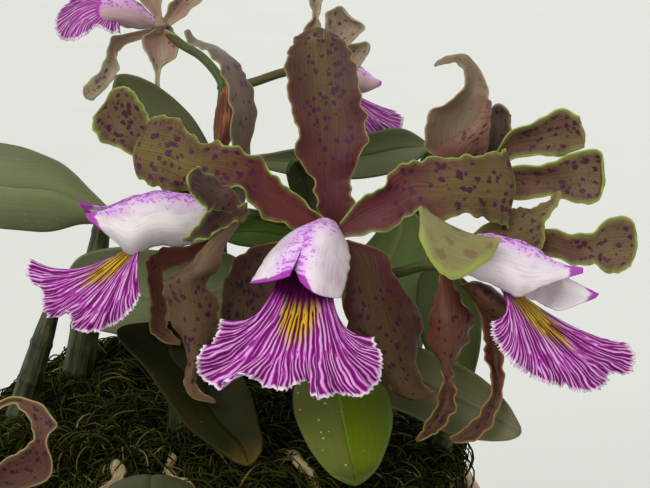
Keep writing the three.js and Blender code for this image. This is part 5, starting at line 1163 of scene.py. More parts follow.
def frill_paint(name, stripes=17, yellow=(206, 172, 26), deep=(88, 8, 72), bright=(172, 38, 164),
                pale=(216, 162, 212), white=(242, 228, 240), blood=(98, 10, 40), mouth=(84, 14, 70),
                gold=(0.5, 0.2), heart=0.4, shadow=(0.26, 0.14)):
    """The lip's fan: forked purple stripes between white veins, a yellow throat and a white fringe."""
    paint = Paint(name)
    x, y, side = paint.attribute("lie")
    s, v, rim = paint.attribute("place")
    wander = paint.noise(paint.at(x * 0.07, y * 0.09), detail=2.0) - 0.5
    shake = paint.noise(paint.at(x * 0.55, y * 0.3, 4.0), detail=3.0) - 0.5
    turn = s * stripes + wander * 0.9 + shake * 0.06
    coarse = turn.wave()
    forked = (turn * 2 + shake * 0.1).wave()
    fine = (turn * 4 + shake * 0.2).wave()
    wide = coarse + (forked - coarse) * (v + shake * 0.3 + wander * 0.3).smooth(0.16, 0.34)
    wide = wide + (fine - wide) * (v + shake * 0.5 + wander * 0.6).smooth(0.5, 0.74)
    stripe = (wide + shake * 0.7 - v * 0.1).smooth(-0.82, -0.32)
    core = (wide + shake * 0.8).smooth(0.05, 0.7)
    near = (abs(s - gold[0]) + shake * 0.05 + wander * 0.08).smooth(gold[1] * 1.6, gold[1] * 0.6)
    golden = (v + wander * 0.2 + shake * 0.1 + abs(s - gold[0]) * 0.9).smooth(heart + 0.1, heart - 0.1) * near
    ground = paint.mix(tone(*pale), tone(*yellow), golden)
    ink = paint.mix(tone(*bright), tone(*deep), core * 0.85)
    ink = paint.mix(ink, tone(*blood), golden)
    line = stripe + ((wide + shake * 0.6).smooth(-0.35, 0.3) - stripe) * golden
    colour = paint.mix(ground, ink, line)
    fringe = (rim + shake * 1.4).smooth(1.1, 0.3)
    colour = paint.mix(colour, tone(*white), fringe * 0.85)
    dark = (v + shake * 0.08).smooth(*shadow)
    colour = paint.mix(colour, tone(*mouth), dark)
    behind = paint.mix(tone(216, 176, 218), tone(158, 70, 160), stripe * 0.7)
    colour = paint.mix(behind, colour, side.smooth(-0.2, 0.2))
    height = wide * -0.6 + shake
    return paint.finish(colour, 0.5 + shake * 0.2, paint.bump(height, 0.0003, 0.8), Specular_IOR_Level=0.12)


def hood_paint(name, body=(236, 222, 232), shade=(206, 178, 208), speck=(184, 66, 208), crest=(-1.0, 0.9),
               inside=(96, 16, 84), tip=0.93, tip_colour=(162, 26, 168), blush=0.6, crown=1.0, knob=0.03,
               low_shade=0.0):
    """The lip's side lobes: pale, with violet specks along the ridge and magenta curled edges."""
    paint = Paint(name)
    x, y, side = paint.attribute("lie")
    s, v = paint.attribute("place")[:2]
    fibre = paint.noise(paint.at(x * 1.8, y * 0.14), detail=3.0)
    drift = paint.noise(paint.at(x * 0.16, y * 0.12, 2.0), detail=2.0)
    warp = paint.noise(paint.at(x * 0.9, y * 0.5, 6.0), detail=2.0) - 0.5
    ridge = (v * crest[0] + (drift - 0.5) * 1.1).smooth(crest[1] - 0.9, crest[1])
    top = (s + (drift - 0.5) * 0.3).smooth(0.5, 0.15) * crown
    colour = paint.mix(tone(*body), tone(*shade), (drift + (fibre - 0.5) * 0.6).smooth(0.42, 0.75) * 0.7)
    colour = paint.scale(colour, 1.0 - (v * crest[0]).smooth(-0.1, -1.0) * low_shade)
    colour = paint.mix(colour, tone(224, 158, 240), ridge.most(top * 0.7) * blush)
    spots, draw = paint.cells(paint.at(x / 1.1 + warp * 1.6, y / 0.8 + warp * 1.2))
    size = (draw.smooth(0.15, 0.8) * 0.6 + 0.12) * ridge.most(top * 0.75)
    specks = (spots - size).smooth(0.14, -0.12)
    colour = paint.mix(colour, tone(*speck), specks * 0.8)
    veins = paint.noise(paint.at(x * 1.3, y * 0.1, 8.0), detail=2.0).smooth(0.56, 0.68)
    colour = paint.mix(colour, tone(*speck), veins * s.smooth(0.4, 1.0) * ridge * 0.4)
    curl = (s + warp * 0.04 + (v * crest[0]).smooth(0.2, 0.7) * knob).smooth(tip, tip + 0.03)
    colour = paint.mix(colour, tone(*tip_colour), curl * 0.95)
    within = paint.mix(tone(*inside), tone(196, 120, 184), (s + warp * 0.5).smooth(0.9, 0.2) * 0.35)
    colour = paint.mix(within, colour, side.smooth(-0.2, 0.2))
    return paint.finish(colour, 0.42 + (fibre - 0.5) * 0.2, paint.bump(fibre + specks * 0.3, 0.0002, 0.6),
                        Specular_IOR_Level=0.25)


def leaf_paint(name, body, edge_tone, rib, rear, blush=None, blush_zone=None, specks=0.1, left=None,
               shine=0.2):
    """Leathery leaves: a rib, fine parallel veins, pale specks, dusty marks and a blush at the tip."""
    paint = Paint(name)
    x, y, side = paint.attribute("lie")
    s, v, rim = paint.attribute("place")
    drift = paint.noise(paint.at(x * 0.07, y * 0.05), detail=4.0)
    fibre = paint.noise(paint.at(x * 1.4, y * 0.04), detail=3.0)
    colour = paint.mix(tone(*body), tone(*edge_tone), (abs(v) + (drift - 0.5) * 1.2).smooth(0.25, 1.0))
    if left is not None:
        colour = paint.mix(tone(*left), colour, (v + (drift - 0.5) * 0.5).smooth(-0.25, 0.15))
    colour = paint.scale(colour, 1.0 + (drift - 0.5) * 0.7 + (fibre - 0.5) * 0.3)
    line = (abs(v) + (drift - 0.5) * 0.03).smooth(0.07, 0.015)
    colour = paint.mix(colour, tone(*rib), line * 0.7)
    spots, draw = paint.cells(paint.at(x / 2.1, y / 2.1, 3.0))
    pale_marks = (spots - draw * 0.16).smooth(0.05, -0.03) * draw.smooth(0.45, 0.6)
    colour = paint.mix(colour, tone(196, 200, 160), pale_marks * specks)
    if blush is not None:
        warm = (s + (drift - 0.5) * 0.6).smooth(*blush_zone)
        colour = paint.mix(colour, tone(*blush), warm * 0.75)
    behind = paint.scale(tone(*rear), 0.95 + (fibre - 0.5) * 0.35)
    colour = paint.mix(behind, colour, side.smooth(-0.2, 0.2))
    colour = paint.mix(colour, tone(*rear), rim.smooth(0.7, 0.1) * 0.5)
    height = fibre * 0.6 + drift * 0.6 - line
    return paint.finish(colour, 0.45 + (drift - 0.5) * 0.4, paint.bump(height, 0.0004, 0.5),
                        Specular_IOR_Level=shine)


def cane_paint(name, body, dark, dry=(186, 170, 128), sheath=0.5):
    """Canes and stems: lengthwise lines, paler joints and dry papery patches."""
    paint = Paint(name)
    x, y, z = paint.attribute("lie")
    s = paint.attribute("place")[0]
    lines = paint.noise(paint.at(x * 1.6, y * 0.06, z * 1.6), detail=3.0)
    drift = paint.noise(paint.at(x * 0.3, y * 0.12, z * 0.3), detail=3.0)
    colour = paint.mix(tone(*dark), tone(*body), (lines * 0.6 + drift * 0.6).smooth(0.4, 0.75))
    papery = (drift + (lines - 0.5) * 0.5 + s * 0.1).smooth(0.56, 0.64) * sheath
    colour = paint.mix(colour, tone(*dry), papery)
    return paint.finish(colour, 0.45 + papery * 0.35, paint.bump(lines + drift * 0.5, 0.0004, 0.6),
                        Specular_IOR_Level=0.2)


def clay_paint():
    """Unglazed clay with lime bloom, a foot that grows darker towards the bottom, and faint turning rings."""
    paint = Paint("weathered clay")
    place = paint.object_place()
    z = paint.split(place)[2]
    drift = paint.noise(place, 28.0, 5.0, 0.6)
    grit = paint.noise(place, 900.0, 3.0, 0.6)
    rings = paint.noise(paint.at(0.0, 0.0, z * 900.0), 1.0, 2.0)
    colour = paint.mix(tone(166, 92, 62), tone(192, 120, 86), drift.smooth(0.35, 0.65))
    bloom = (drift + (grit - 0.5) * 0.35 + z * 2.0).smooth(0.66, 0.82)
    colour = paint.mix(colour, tone(216, 188, 166), bloom * 0.6)
    # The colour grows darker towards the bottom of the pot.
    foot_darkening = (z + (drift - 0.5) * 0.03).smooth(0.03, 0.008)
    colour = paint.mix(colour, tone(120, 66, 46), foot_darkening * 0.6)
    green = (drift + (z - 0.088) * 12.0).smooth(0.5, 0.72)
    colour = paint.mix(colour, tone(104, 104, 66), green * 0.3)
    colour = paint.scale(colour, 1.0 + (grit - 0.5) * 0.35)
    return paint.finish(colour, 0.86 + (grit - 0.5) * 0.2, paint.bump(grit * 0.5 + rings * 0.6, 0.0004, 0.6))


def bark_paint():
    """Dark bark chips."""
    paint = Paint("bark chips")
    place = paint.object_place()
    spots = paint.node("ShaderNodeTexVoronoi", {}, {"Vector": place, "Scale": 160.0})
    grain = paint.noise(place, 420.0, 4.0, 0.6)
    colour = paint.mix(tone(66, 44, 30), tone(128, 90, 58), (grain + spots * 0.4).smooth(0.4, 0.9))
    return paint.finish(colour, 0.92, paint.bump(spots + grain * 0.5, 0.003, 0.8))


def moss_paint():
    """The dark ground between the strands: the moss's own dark tone, with painted shade between and under the
    strands.
    """
    paint = Paint("moss ground")
    place = paint.object_place()
    tuft = paint.noise(place, 160.0, 5.0, 0.65)
    drift = paint.noise(place, 30.0, 3.0, 0.5)
    # Near-black ground colours: painted shade between and under the strands, over the moss's own dark tone.
    colour = paint.mix(tone(9, 11, 3), tone(30, 34, 10), tuft.smooth(0.45, 0.7))
    colour = paint.mix(colour, tone(52, 46, 22), (drift + tuft * 0.4).smooth(0.78, 0.95) * 0.5)
    return paint.finish(colour, 0.95, paint.bump(tuft, 0.002, 1.0), Specular_IOR_Level=0.05)


def strand_paint():
    """Moss strands, dark olive to straw, by each strand's own stored tone and its place on the ground."""
    paint = Paint("moss strands")
    shade = paint.node("ShaderNodeAttribute", {"attribute_name": "tone"}, {}, output=2)
    drift = paint.noise(paint.object_place(), 55.0, 2.0)
    colour = paint.mix(tone(14, 17, 4), tone(52, 56, 16), (shade * 0.7 + drift * 0.6).smooth(0.3, 0.9))
    colour = paint.mix(colour, tone(92, 84, 40), (shade + (drift - 0.5) * 0.5).smooth(0.84, 0.96) * 0.8)
    colour = paint.mix(colour, tone(132, 118, 78), shade.smooth(0.975, 0.99) * 0.8)
    return paint.finish(colour, 0.8, Specular_IOR_Level=0.05)


def moss_height(x, y):
    """The height of the moss over the middle of the pot, with its lumps."""
    reach = np.hypot(x, y) / MOSS_RADIUS
    dome = MOSS_DOME_FOOT + MOSS_DOME_RISE * (1 - reach ** 3)
    away = (x - MOSS_HUMP[0]) ** 2 + (y - MOSS_HUMP[1]) ** 2
    hump = MOSS_HUMP[2] * np.exp(-away / MOSS_HUMP_SPREAD)
    lumps = 1.5 * np.sin(0.17 * x + 0.8) * np.cos(0.21 * y) + 0.9 * np.sin(0.33 * x - 0.27 * y)
    return dome + hump + lumps


def tuft_height(x, y):
    """Small tufts and hollows of the moss, in millimetres."""
    draw = np.random.default_rng(31)
    total = np.zeros_like(x)
    for _ in range(22):
        heading = draw.uniform(0, 2 * np.pi)
        pace = draw.uniform(0.35, 1.3)
        phase = draw.uniform(0, 2 * np.pi)
        total += np.sin(pace * (x * np.cos(heading) + y * np.sin(heading)) + phase) / (0.6 + pace)
    return total * 0.42


def moss_ground():
    """The moss cushion: a domed top, a rolled shoulder, a side in the pot and a flat underside."""
    around = 190
    angle = 2 * np.pi * np.arange(around) / around
    ring = np.stack([np.cos(angle), np.sin(angle)], -1)
    rings = []
    for reach in np.sqrt(np.linspace(0.0004, 0.96 ** 2, 52)):
        xy = ring * reach * (MOSS_RADIUS - 2)
        height = moss_height(xy[:, 0], xy[:, 1]) + tuft_height(xy[:, 0], xy[:, 1]) - 0.6
        rings.append(np.column_stack([xy, height]))
    edge = ring * MOSS_RADIUS * 0.985
    lift = tuft_height(edge[:, 0], edge[:, 1])
    rings.append(np.column_stack([edge, MOSS_EDGE_HEIGHT + lift]))
    for gap, height in ((0.4, 96), (0.5, POT_HEIGHT - 3), (4, MIX_TOP + 0.3)):
        rings.append(np.column_stack([ring * (MOSS_RADIUS - gap), np.full(around, height)]))
    k = np.arange(around)
    nxt = (k + 1) % around
    points = np.vstack(rings + [[[0, 0, moss_height(0.0, 0.0) - 0.6]], [[0, 0, MIX_TOP + 0.3]]])
    faces = [np.stack([i * around + k, (i + 1) * around + k, (i + 1) * around + nxt, i * around + nxt], 1)
             for i in range(len(rings) - 1)]
    top = len(rings) * around
    last = (len(rings) - 1) * around
    faces.append(np.stack([np.full(around, top), k, nxt, nxt], 1))
    faces.append(np.stack([np.full(around, top + 1), last + nxt, last + k, last + k], 1))
    return points, np.concatenate(faces), points, points, 0


def tree_socket(tree, name, kind, way="INPUT"):
    """Adds a socket to a geometry tree and gives the name that a modifier knows it by."""
    return tree.interface.new_socket(name, in_out=way, socket_type="NodeSocket" + kind).identifier


def tree_node(tree, kind, settings, sockets):
    """One node of a geometry tree: settings by name, inputs by index as values or sockets."""
    made = tree.nodes.new(kind)
    for key, value in settings.items():
        setattr(made, key, value)
    for key, value in sockets.items():
        if isinstance(value, bpy.types.NodeSocket):
            tree.links.new(value, made.inputs[key])
        else:
            made.inputs[key].default_value = value
    return made


def strand_shape(tree, out):
    """One arched strand: a thin three-sided tube."""
    half = tree_node(tree, "ShaderNodeMath", {"operation": "MULTIPLY"}, {0: out["Length"], 1: 0.5})
    back = tree_node(tree, "ShaderNodeMath", {"operation": "MULTIPLY"}, {0: out["Length"], 1: -0.5})
    start = tree_node(tree, "ShaderNodeCombineXYZ", {}, {0: back.outputs[0]})
    crown = tree_node(tree, "ShaderNodeCombineXYZ", {}, {2: out["Rise"]})
    end = tree_node(tree, "ShaderNodeCombineXYZ", {}, {0: half.outputs[0]})
    arch = tree_node(tree, "GeometryNodeCurveQuadraticBezier", {}, {
        "Resolution": out["Points"], "Start": start.outputs[0], "Middle": crown.outputs[0],
        "End": end.outputs[0]})
    profile = tree_node(tree, "GeometryNodeCurvePrimitiveCircle", {}, {
        "Resolution": 3, "Radius": out["Thickness"]})
    strand = tree_node(tree, "GeometryNodeCurveToMesh", {}, {
        "Curve": arch.outputs[0], "Profile Curve": profile.outputs[0], "Fill Caps": True})
    return strand.outputs[0]


def scattered(tree, out, strand):
    """Strands over the ground, turned and sized at random, each with its own stored tone."""
    scatter = tree_node(tree, "GeometryNodeDistributePointsOnFaces", {}, {
        "Mesh": out["Geometry"], "Density": out["Density"], "Seed": out["Seed"]})
    spin = tree_node(tree, "FunctionNodeRandomValue", {"data_type": "FLOAT_VECTOR"}, {
        0: (-0.5, -0.5, 0.0), 1: (0.5, 0.5, 6.283), 8: out["Seed"]})
    size = tree_node(tree, "FunctionNodeRandomValue", {"data_type": "FLOAT"}, {
        2: 0.55, 3: 1.35, 8: out["Seed"]})
    placed = tree_node(tree, "GeometryNodeInstanceOnPoints", {}, {
        "Points": scatter.outputs["Points"], "Instance": strand,
        "Rotation": scatter.outputs["Rotation"], "Scale": size.outputs[1]})
    turned = tree_node(tree, "GeometryNodeRotateInstances", {}, {
        "Instances": placed.outputs[0], "Rotation": spin.outputs[0]})
    shade = tree_node(tree, "FunctionNodeRandomValue", {"data_type": "FLOAT"}, {8: 3})
    per_strand = {"data_type": "FLOAT", "domain": "INSTANCE"}
    stored = tree_node(tree, "GeometryNodeStoreNamedAttribute", per_strand, {
        "Geometry": turned.outputs[0], "Name": "tone", "Value": shade.outputs[1]})
    return tree_node(tree, "GeometryNodeRealizeInstances", {}, {"Geometry": stored.outputs[0]}).outputs[0]


def strand_tree():
    """The tree that grows arched strands over a ground mesh, and its inputs by name."""
    tree = bpy.data.node_groups.new("moss strands", "GeometryNodeTree")
    tree_socket(tree, "Geometry", "Geometry")
    tree_socket(tree, "Geometry", "Geometry", "OUTPUT")
    names = {name: tree_socket(tree, name, "Float") for name in ("Density", "Length", "Rise", "Thickness")}
    names.update({name: tree_socket(tree, name, "Int") for name in ("Points", "Seed")})
    names["Finish"] = tree_socket(tree, "Finish", "Material")
    given = tree.nodes.new("NodeGroupInput")
    out = {socket.name: socket for socket in given.outputs if socket.name}
    grown = scattered(tree, out, strand_shape(tree, out))
    finished = tree_node(tree, "GeometryNodeSetMaterial", {}, {"Geometry": grown, "Material": out["Finish"]})
    result = tree.nodes.new("NodeGroupOutput")
    tree.links.new(finished.outputs[0], result.inputs[0])
    return tree, names


def strands(name, ground, paint, **sizes):
    """Plain mesh of the strands that the tree scatters over a ground of points and faces."""
    points, faces = ground[0] * MM, ground[1]
    mesh = bpy.data.meshes.new(name + " ground")
    mesh.from_pydata(points.tolist(), [], [list(dict.fromkeys(face.tolist())) for face in faces])
    carrier = linked(name + " ground", mesh)
    tree, names = strand_tree()
    modifier = carrier.modifiers.new("strands", "NODES")
    modifier.node_group = tree
    modifier[names["Finish"]] = paint
    for key, value in sizes.items():
        modifier[names[key]] = value
    shaped = carrier.evaluated_get(bpy.context.evaluated_depsgraph_get())
    plain = bpy.data.meshes.new_from_object(shaped)
    plain.name = name
    carrier.modifiers.clear()
    bpy.data.objects.remove(carrier)
    bpy.data.meshes.remove(mesh)
    spots = np.empty(len(plain.vertices) * 3, np.float32)
    plain.vertices.foreach_get("co", spots)
    plain.vertices.foreach_set("co", inside_box(spots.reshape(-1, 3)).ravel())
    hand_over(name, plain, [])


def open_ground():
    """The top of the moss as a bare surface for the strands."""
    angles = np.linspace(0, 2 * math.pi, 60)
    reaches = np.linspace(0.02, 1.0, 24)
    a, r = np.meshgrid(angles, reaches)
    x = r * np.cos(a) * MOSS_RADIUS
    y = r * np.sin(a) * MOSS_RADIUS
    z = np.where(r > 0.97, MOSS_EDGE_HEIGHT, moss_height(x, y)) + tuft_height(x, y) - 0.3
    points = np.stack([x, y, z], -1).reshape(-1, 3)
    row = len(angles)
    i, j = np.meshgrid(np.arange(len(reaches) - 1), np.arange(row - 1), indexing="ij")
    low_corner = (i * row + j).ravel()
    faces = np.stack([low_corner, low_corner + row, low_corner + row + 1, low_corner + 1], 1)
    return points, faces


def root_run(points, radius, seed):
    """A pale root that creeps over the moss through places on the ground plan."""
    draw = np.random.default_rng(seed)
    plan = np.asarray(points, float)
    s = np.linspace(0, 1, 3 * len(plan))
    run = along_curve(np.column_stack([plan, np.zeros(len(plan))]), s)
    run[:, :2] += draw.normal(0, 0.5, (len(run), 2))
    run[:, 2] = moss_height(run[:, 0], run[:, 1]) + radius * 0.4
    run[0, 2] -= 2
    return tube(run, [radius, radius, radius * 0.95, radius * 0.75], sides=10, steps=48, ribs=3, rib=0.06,
                seed=seed)


# Finishes. Colours are as seen on a screen, 0 to 255.
clay = clay_paint()
bark = bark_paint()
moss_dark = moss_paint()
moss_light = strand_paint()
root_pale = cane_paint("aerial root", (146, 128, 88), (96, 82, 52), (178, 160, 122), 0.7)
cane_green = cane_paint("pseudobulb", (50, 58, 24), (26, 30, 13), (120, 108, 72), 0.2)
sheath_brown = cane_paint("dry sheath", (112, 58, 34), (70, 34, 22), (156, 108, 70), 0.5)
stem_green = cane_paint("flower stem", (78, 98, 42), (50, 52, 26), (84, 58, 36), 0.6)
joint_green = cane_paint("stem joint", (108, 128, 56), (70, 84, 36), (94, 70, 46), 0.3)
column_violet = hood_paint("column", (208, 158, 212), (166, 90, 176), (120, 20, 130), tip=0.8,
                           inside=(166, 90, 176), crown=0.0)

DARK_SPOT = (60, 16, 44)
LIME_EDGE = (158, 178, 84)
TAN_EDGE = (150, 122, 74)
BOLD_PETAL = {"pitch": (2.0, 2.2), "fade": (1.1, 0.7), "edge": 0.42, "halo": 0.2, "mottle": 0.5}
# The dorsal sepal carries a painted sheen near its end, in its sheen colour.
dorsal = tepal_paint("middle dorsal sepal", (78, 27, 31), (76, 46, 38), (92, 74, 36), (162, 142, 86),
                     DARK_SPOT, (96, 76, 50), pitch=(1.75, 1.9), amount=0.4, zone=(0.2, 0.4),
                     fade=(1.0, 0.5), edge=0.35, middle=0.7, middle_zone=(0.3, 0.7), turn=(0.2, 0.8),
                     streaks=0.0, sheen=(128, 122, 104))
left_petal = tepal_paint("middle left petal", (94, 40, 40), (98, 74, 48), (108, 92, 36), (146, 168, 70),
                         (72, 18, 54), (118, 110, 64), amount=0.54, zone=(0.22, 0.38), turn=(0.24, 0.62),
                         middle=0.7, middle_zone=(0.45, 0.7), streaks=0.7, **BOLD_PETAL)
right_petal = tepal_paint("middle right petal", (92, 38, 42), (98, 78, 46), (104, 88, 48), (146, 164, 82),
                          (66, 18, 52), (118, 108, 66), amount=0.5, turn=(0.25, 0.75),
                          middle_zone=(0.3, 0.6), streaks=0.3, **BOLD_PETAL)
brown_sepal = tepal_paint("middle lateral sepals", (74, 34, 30), (70, 48, 28), (80, 58, 28), TAN_EDGE,
                          (44, 12, 32), (94, 70, 48), pitch=(1.7, 2.0), amount=0.4, zone=(0.1, 0.35),
                          fade=(1.0, 0.45), edge=0.35, middle=0.6)
far_petal = tepal_paint("spotted back petals", (92, 58, 46), (104, 82, 56), (102, 80, 52), LIME_EDGE,
                        (62, 16, 48), (110, 98, 66), pitch=(1.7, 1.9), amount=0.5, fade=(1.1, 0.75),
                        edge=0.5, turn=(0.3, 0.8), middle=0.3, streaks=0.4, halo=0.3, mottle=0.5)
side_petal = tepal_paint("left bloom near petal", (92, 60, 46), (60, 36, 26), (78, 52, 32), LIME_EDGE,
                         (52, 16, 34), (82, 64, 40), amount=0.42, edge=0.45, turn=(0.1, 0.5), middle=0.4,
                         streaks=0.2, mottle=0.6, halo=0.15)
olive_sepal = tepal_paint("left bloom lateral sepal", (124, 98, 78), (90, 64, 44), (90, 68, 42), TAN_EDGE,
                          (54, 18, 42), (108, 86, 60), pitch=(1.8, 2.0), amount=0.38, zone=(0.15, 0.35),
                          turn=(0.05, 0.3), middle=0.4)
red_sepal = tepal_paint("far lateral sepal", (100, 46, 32), (82, 50, 34), (98, 62, 38), (150, 116, 70),
                        (66, 20, 34), (110, 66, 48), amount=0.2, zone=(0.1, 0.4), middle=0.3)
mauve_sepal = tepal_paint("dorsal ribbon", (98, 78, 66), (112, 94, 80), (104, 86, 70), (150, 136, 104),
                          (74, 40, 56), (108, 92, 78), zone=(0.1, 0.4))
pale_petal = tepal_paint("right bloom near petal", (124, 104, 64), (140, 126, 88), (138, 120, 86),
                         (160, 176, 74), (86, 40, 48), (128, 120, 76), pitch=(3.0, 3.2), amount=0.42,
                         zone=(0.0, 0.1), fade=(1.2, 0.8), edge=0.9, middle=0.4, mottle=0.9, halo=0.5)
olive_dorsal = tepal_paint("right bloom dorsal sepal", (98, 78, 46), (114, 96, 58), (104, 88, 54),
                           (150, 158, 82), (62, 28, 36), (100, 86, 52), edge=0.5, streaks=0.5, halo=0.3)
tan_sepal = tepal_paint("right bloom lateral sepals", (94, 50, 38), (78, 52, 34), (88, 62, 40),
                        (148, 116, 68), (54, 18, 32), (112, 88, 62), pitch=(1.8, 2.0), amount=0.32,
                        edge=0.35, middle=0.4)
curl_sepal = tepal_paint("curled back sepal", (132, 108, 86), (142, 122, 98), (134, 114, 92), (156, 142, 106),
                         (92, 52, 58), (84, 44, 46), amount=0.16, zone=(0.2, 0.6), streaks=0.5)
curl_fold = tepal_paint("curled back sepal fold", (112, 72, 62), (126, 96, 78), (116, 84, 68), (140, 88, 66),
                        (78, 30, 44), (84, 44, 46), pitch=(1.7, 1.9), amount=0.34, zone=(0.0, 0.1),
                        edge=0.35, streaks=0.5)
soft_tepal = tepal_paint("back bloom tepals", (156, 120, 108), (150, 136, 114), (150, 128, 108),
                         (156, 154, 112), (104, 58, 72), (146, 120, 104), amount=0.26, zone=(0.1, 0.4),
                         edge=0.6, streaks=0.5, halo=0.3)
corner_tepal = tepal_paint("corner bloom tepals", (76, 42, 34), (92, 62, 46), (86, 54, 42), (158, 142, 92),
                           (44, 12, 28), (96, 66, 50), pitch=(1.5, 1.7), amount=0.4, zone=(0.0, 0.1),
                           fade=(1.1, 0.8))

middle_frill = frill_paint("middle lip fan", 15, gold=(0.5, 0.2), heart=0.48)
left_frill = frill_paint("left lip fan", 13, gold=(0.3, 0.4), heart=0.47, shadow=(0.1, 0.04))
right_frill = frill_paint("right lip fan", 15, gold=(0.26, 0.3), heart=0.5, shadow=(0.1, 0.04))
back_frill = frill_paint("back lip fans", 9, gold=(0.5, 0.1), heart=0.15, bright=(164, 70, 158),
                         deep=(138, 44, 130), pale=(206, 160, 200))
hood_left_half = hood_paint("middle left side lobe", crest=(1.0, 1.0), tip=0.95)
hood_right_half = hood_paint("middle right side lobe", body=(238, 222, 230), crest=(-1.0, 0.85),
                             tip=1.0, knob=0.12)
side_hood = hood_paint("left side lobes", body=(222, 214, 214), shade=(192, 176, 184),
                       crest=(-1.0, 1.05), tip=0.92, crown=0.0, low_shade=0.3)
right_hood = hood_paint("right side lobes", body=(226, 214, 222), shade=(196, 178, 188),
                        crest=(-1.0, 0.95), tip=0.88, crown=0.0, low_shade=0.12)
right_far_hood = hood_paint("right far side lobe", body=(244, 234, 240), shade=(222, 206, 214),
                            crest=(-1.0, 1.2), tip=0.95, crown=0.0)
back_hood = hood_paint("back side lobes", (178, 146, 148), (150, 116, 120), (124, 66, 124), crown=0.0)

LEAF_FINISH = {
    "leafGrey": leaf_paint("grey green leaf", (108, 118, 78), (100, 104, 72), (128, 132, 92), (92, 96, 64),
                           (112, 88, 60), (0.9, 1.15)),
    "leafDark": leaf_paint("dark leaf", (48, 54, 24), (58, 56, 30), (78, 80, 44), (62, 66, 34)),
    "leafMid": leaf_paint("mid green leaf", (132, 150, 88), (116, 134, 78), (150, 164, 104), (118, 134, 80)),
    "leafBright": leaf_paint("bright leaf", (84, 120, 44), (80, 104, 46), (116, 146, 66), (78, 98, 44),
                             specks=0.2),
}
LEAF_OWN = {
    # A lighter copy of the dark leaf's colours, for the leaf at the back left.
    "leaf_back_left": leaf_paint("lighter back leaf", (88, 92, 62), (84, 82, 54), (110, 112, 78), (86, 88, 58),
                                 specks=0.05),
    "leaf_upright_right": leaf_paint("upright leaf", (88, 104, 54), (80, 92, 50), (108, 120, 68),
                                     (82, 96, 52)),
    "leaf_front_down": leaf_paint("front leaf", (26, 27, 6), (36, 33, 12), (50, 48, 22), (44, 44, 18),
                                  (92, 76, 28), (0.78, 1.05), specks=0.05, shine=0.05),
    "leaf_front_bright": leaf_paint("bright front leaf", (86, 102, 6), (72, 88, 20), (112, 130, 44),
                                    (80, 96, 40), (52, 62, 14), (0.7, 0.98), specks=0.7,
                                    left=(98, 104, 44), shine=0.12),
    "leaf_right": leaf_paint("mauve tipped leaf", (104, 104, 68), (94, 94, 60), (80, 78, 52), (100, 102, 72),
                             (112, 92, 72), (0.8, 1.0), specks=0.05),
}

# Margins of tepals that are seen from further off: lower ruffles and longer, shallower scallops.
SOFT_MARGIN = {"ruffle": 0.6, "ruffle_pitch": 9.0, "scallop": 0.35, "scallop_pitch": 9.0}
# Margins of the calmer tepals, of the narrow ones and of the leaves.
CALM_MARGIN = {"ruffle": 0.6, "scallop": 0.45}
NARROW_MARGIN = {"ruffle": 0.4, "scallop": 0.3}
LEAF_MARGIN = {"ruffle": 0.2, "ruffle_pitch": 22, "scallop": 0.12, "scallop_pitch": 18, "groove": 0.5}

# Radii of a column, from its foot to its head.
COLUMN_RADII = [1.5, 1.9, 2.2, 2.2, 1.2]

# The curled back sepal's own inner fold, as ribs from its foot up.
BACK_RIGHT_CURL_FOLD = [
    [[26.8, 21.8, 16], [33.2, 21, 14], [40, 21.6, 15]],
    [[29.5, 25, 14.5], [35.2, 24.2, 12.5], [40.8, 25, 14]],
    [[34, 28, 13.5], [37.6, 27.6, 12], [41, 28.4, 14]],
    [[38, 31.5, 14], [39.8, 31.5, 13.5], [41.4, 32, 15]],
    [[39.8, 36, 15.5], [40.6, 36, 15.5], [41.6, 36, 16]],
]

# The back flower stem's dry sheath, as ribs from its foot to its tip, open along one side.
BACK_STEM_SHEATH = [
    [[-27.6, 24, 43.6], [-26, 24, 41.8], [-24.4, 24, 43.6]],
    [[-27.8, 28, 43.8], [-25.2, 28, 41.4], [-22.8, 28, 43.8]],
    [[-27.6, 32, 44.6], [-24.8, 32.5, 42.6], [-22.4, 32, 44.6]],
    [[-26.6, 36, 46], [-24.6, 37, 44.6], [-22.6, 36.5, 46]],
    [[-25.4, 39, 46.6], [-24.4, 40, 46.2], [-23.4, 39.4, 46.6]],
]

# The flower stems' radii, as a share of the solids'.
STEM_SLIMNESS = 0.85

# Moss growth: strands to a square metre, and their sizes in metres.
SPRIGS = {"Density": 470000.0, "Length": 0.0046, "Rise": 0.0028, "Thickness": 0.0002, "Points": 3, "Seed": 7}
STRANDS = {"Density": 130000.0, "Length": 0.0095, "Rise": 0.0048, "Thickness": 0.00022, "Points": 5,
           "Seed": 11}

# The studio: its floor, its sky and two broad lights that shine on the middle of the plant, in metres.
FLOOR_REACH = 12.0
FLOOR_COLOUR = (216, 217, 212)
SKY_COLOUR = (0.98, 1.0, 0.97, 1)
SKY_STRENGTH = 0.72
LIT_MIDDLE = (0.02, -0.02, 0.16)
WINDOW_PLACE = (-0.45, -0.6, 0.75)
WINDOW_COLOUR = (1, 0.99, 0.96)
REAR_LIGHT_PLACE = (0.3, 0.7, 0.6)


def heart(place, tint=0):
    """The small swollen centre that tepals grow from."""
    middle = seen(place)
    run = [middle + [0, 0, -2.6], middle, middle + [0, 0, 2.6]]
    return tube(run, [0.8, 2.6, 0.8], sides=14, steps=12, tint=tint)


def bloom(side, rows):
    """A bloom's pieces, from rows of a piece's name, its solid, its slot, its finishes and its parts."""
    for name, node, slot, finishes, parts in rows:
        piece("orchid_" + side + "_" + name, parts, finishes, [side + "_bloom_" + node])


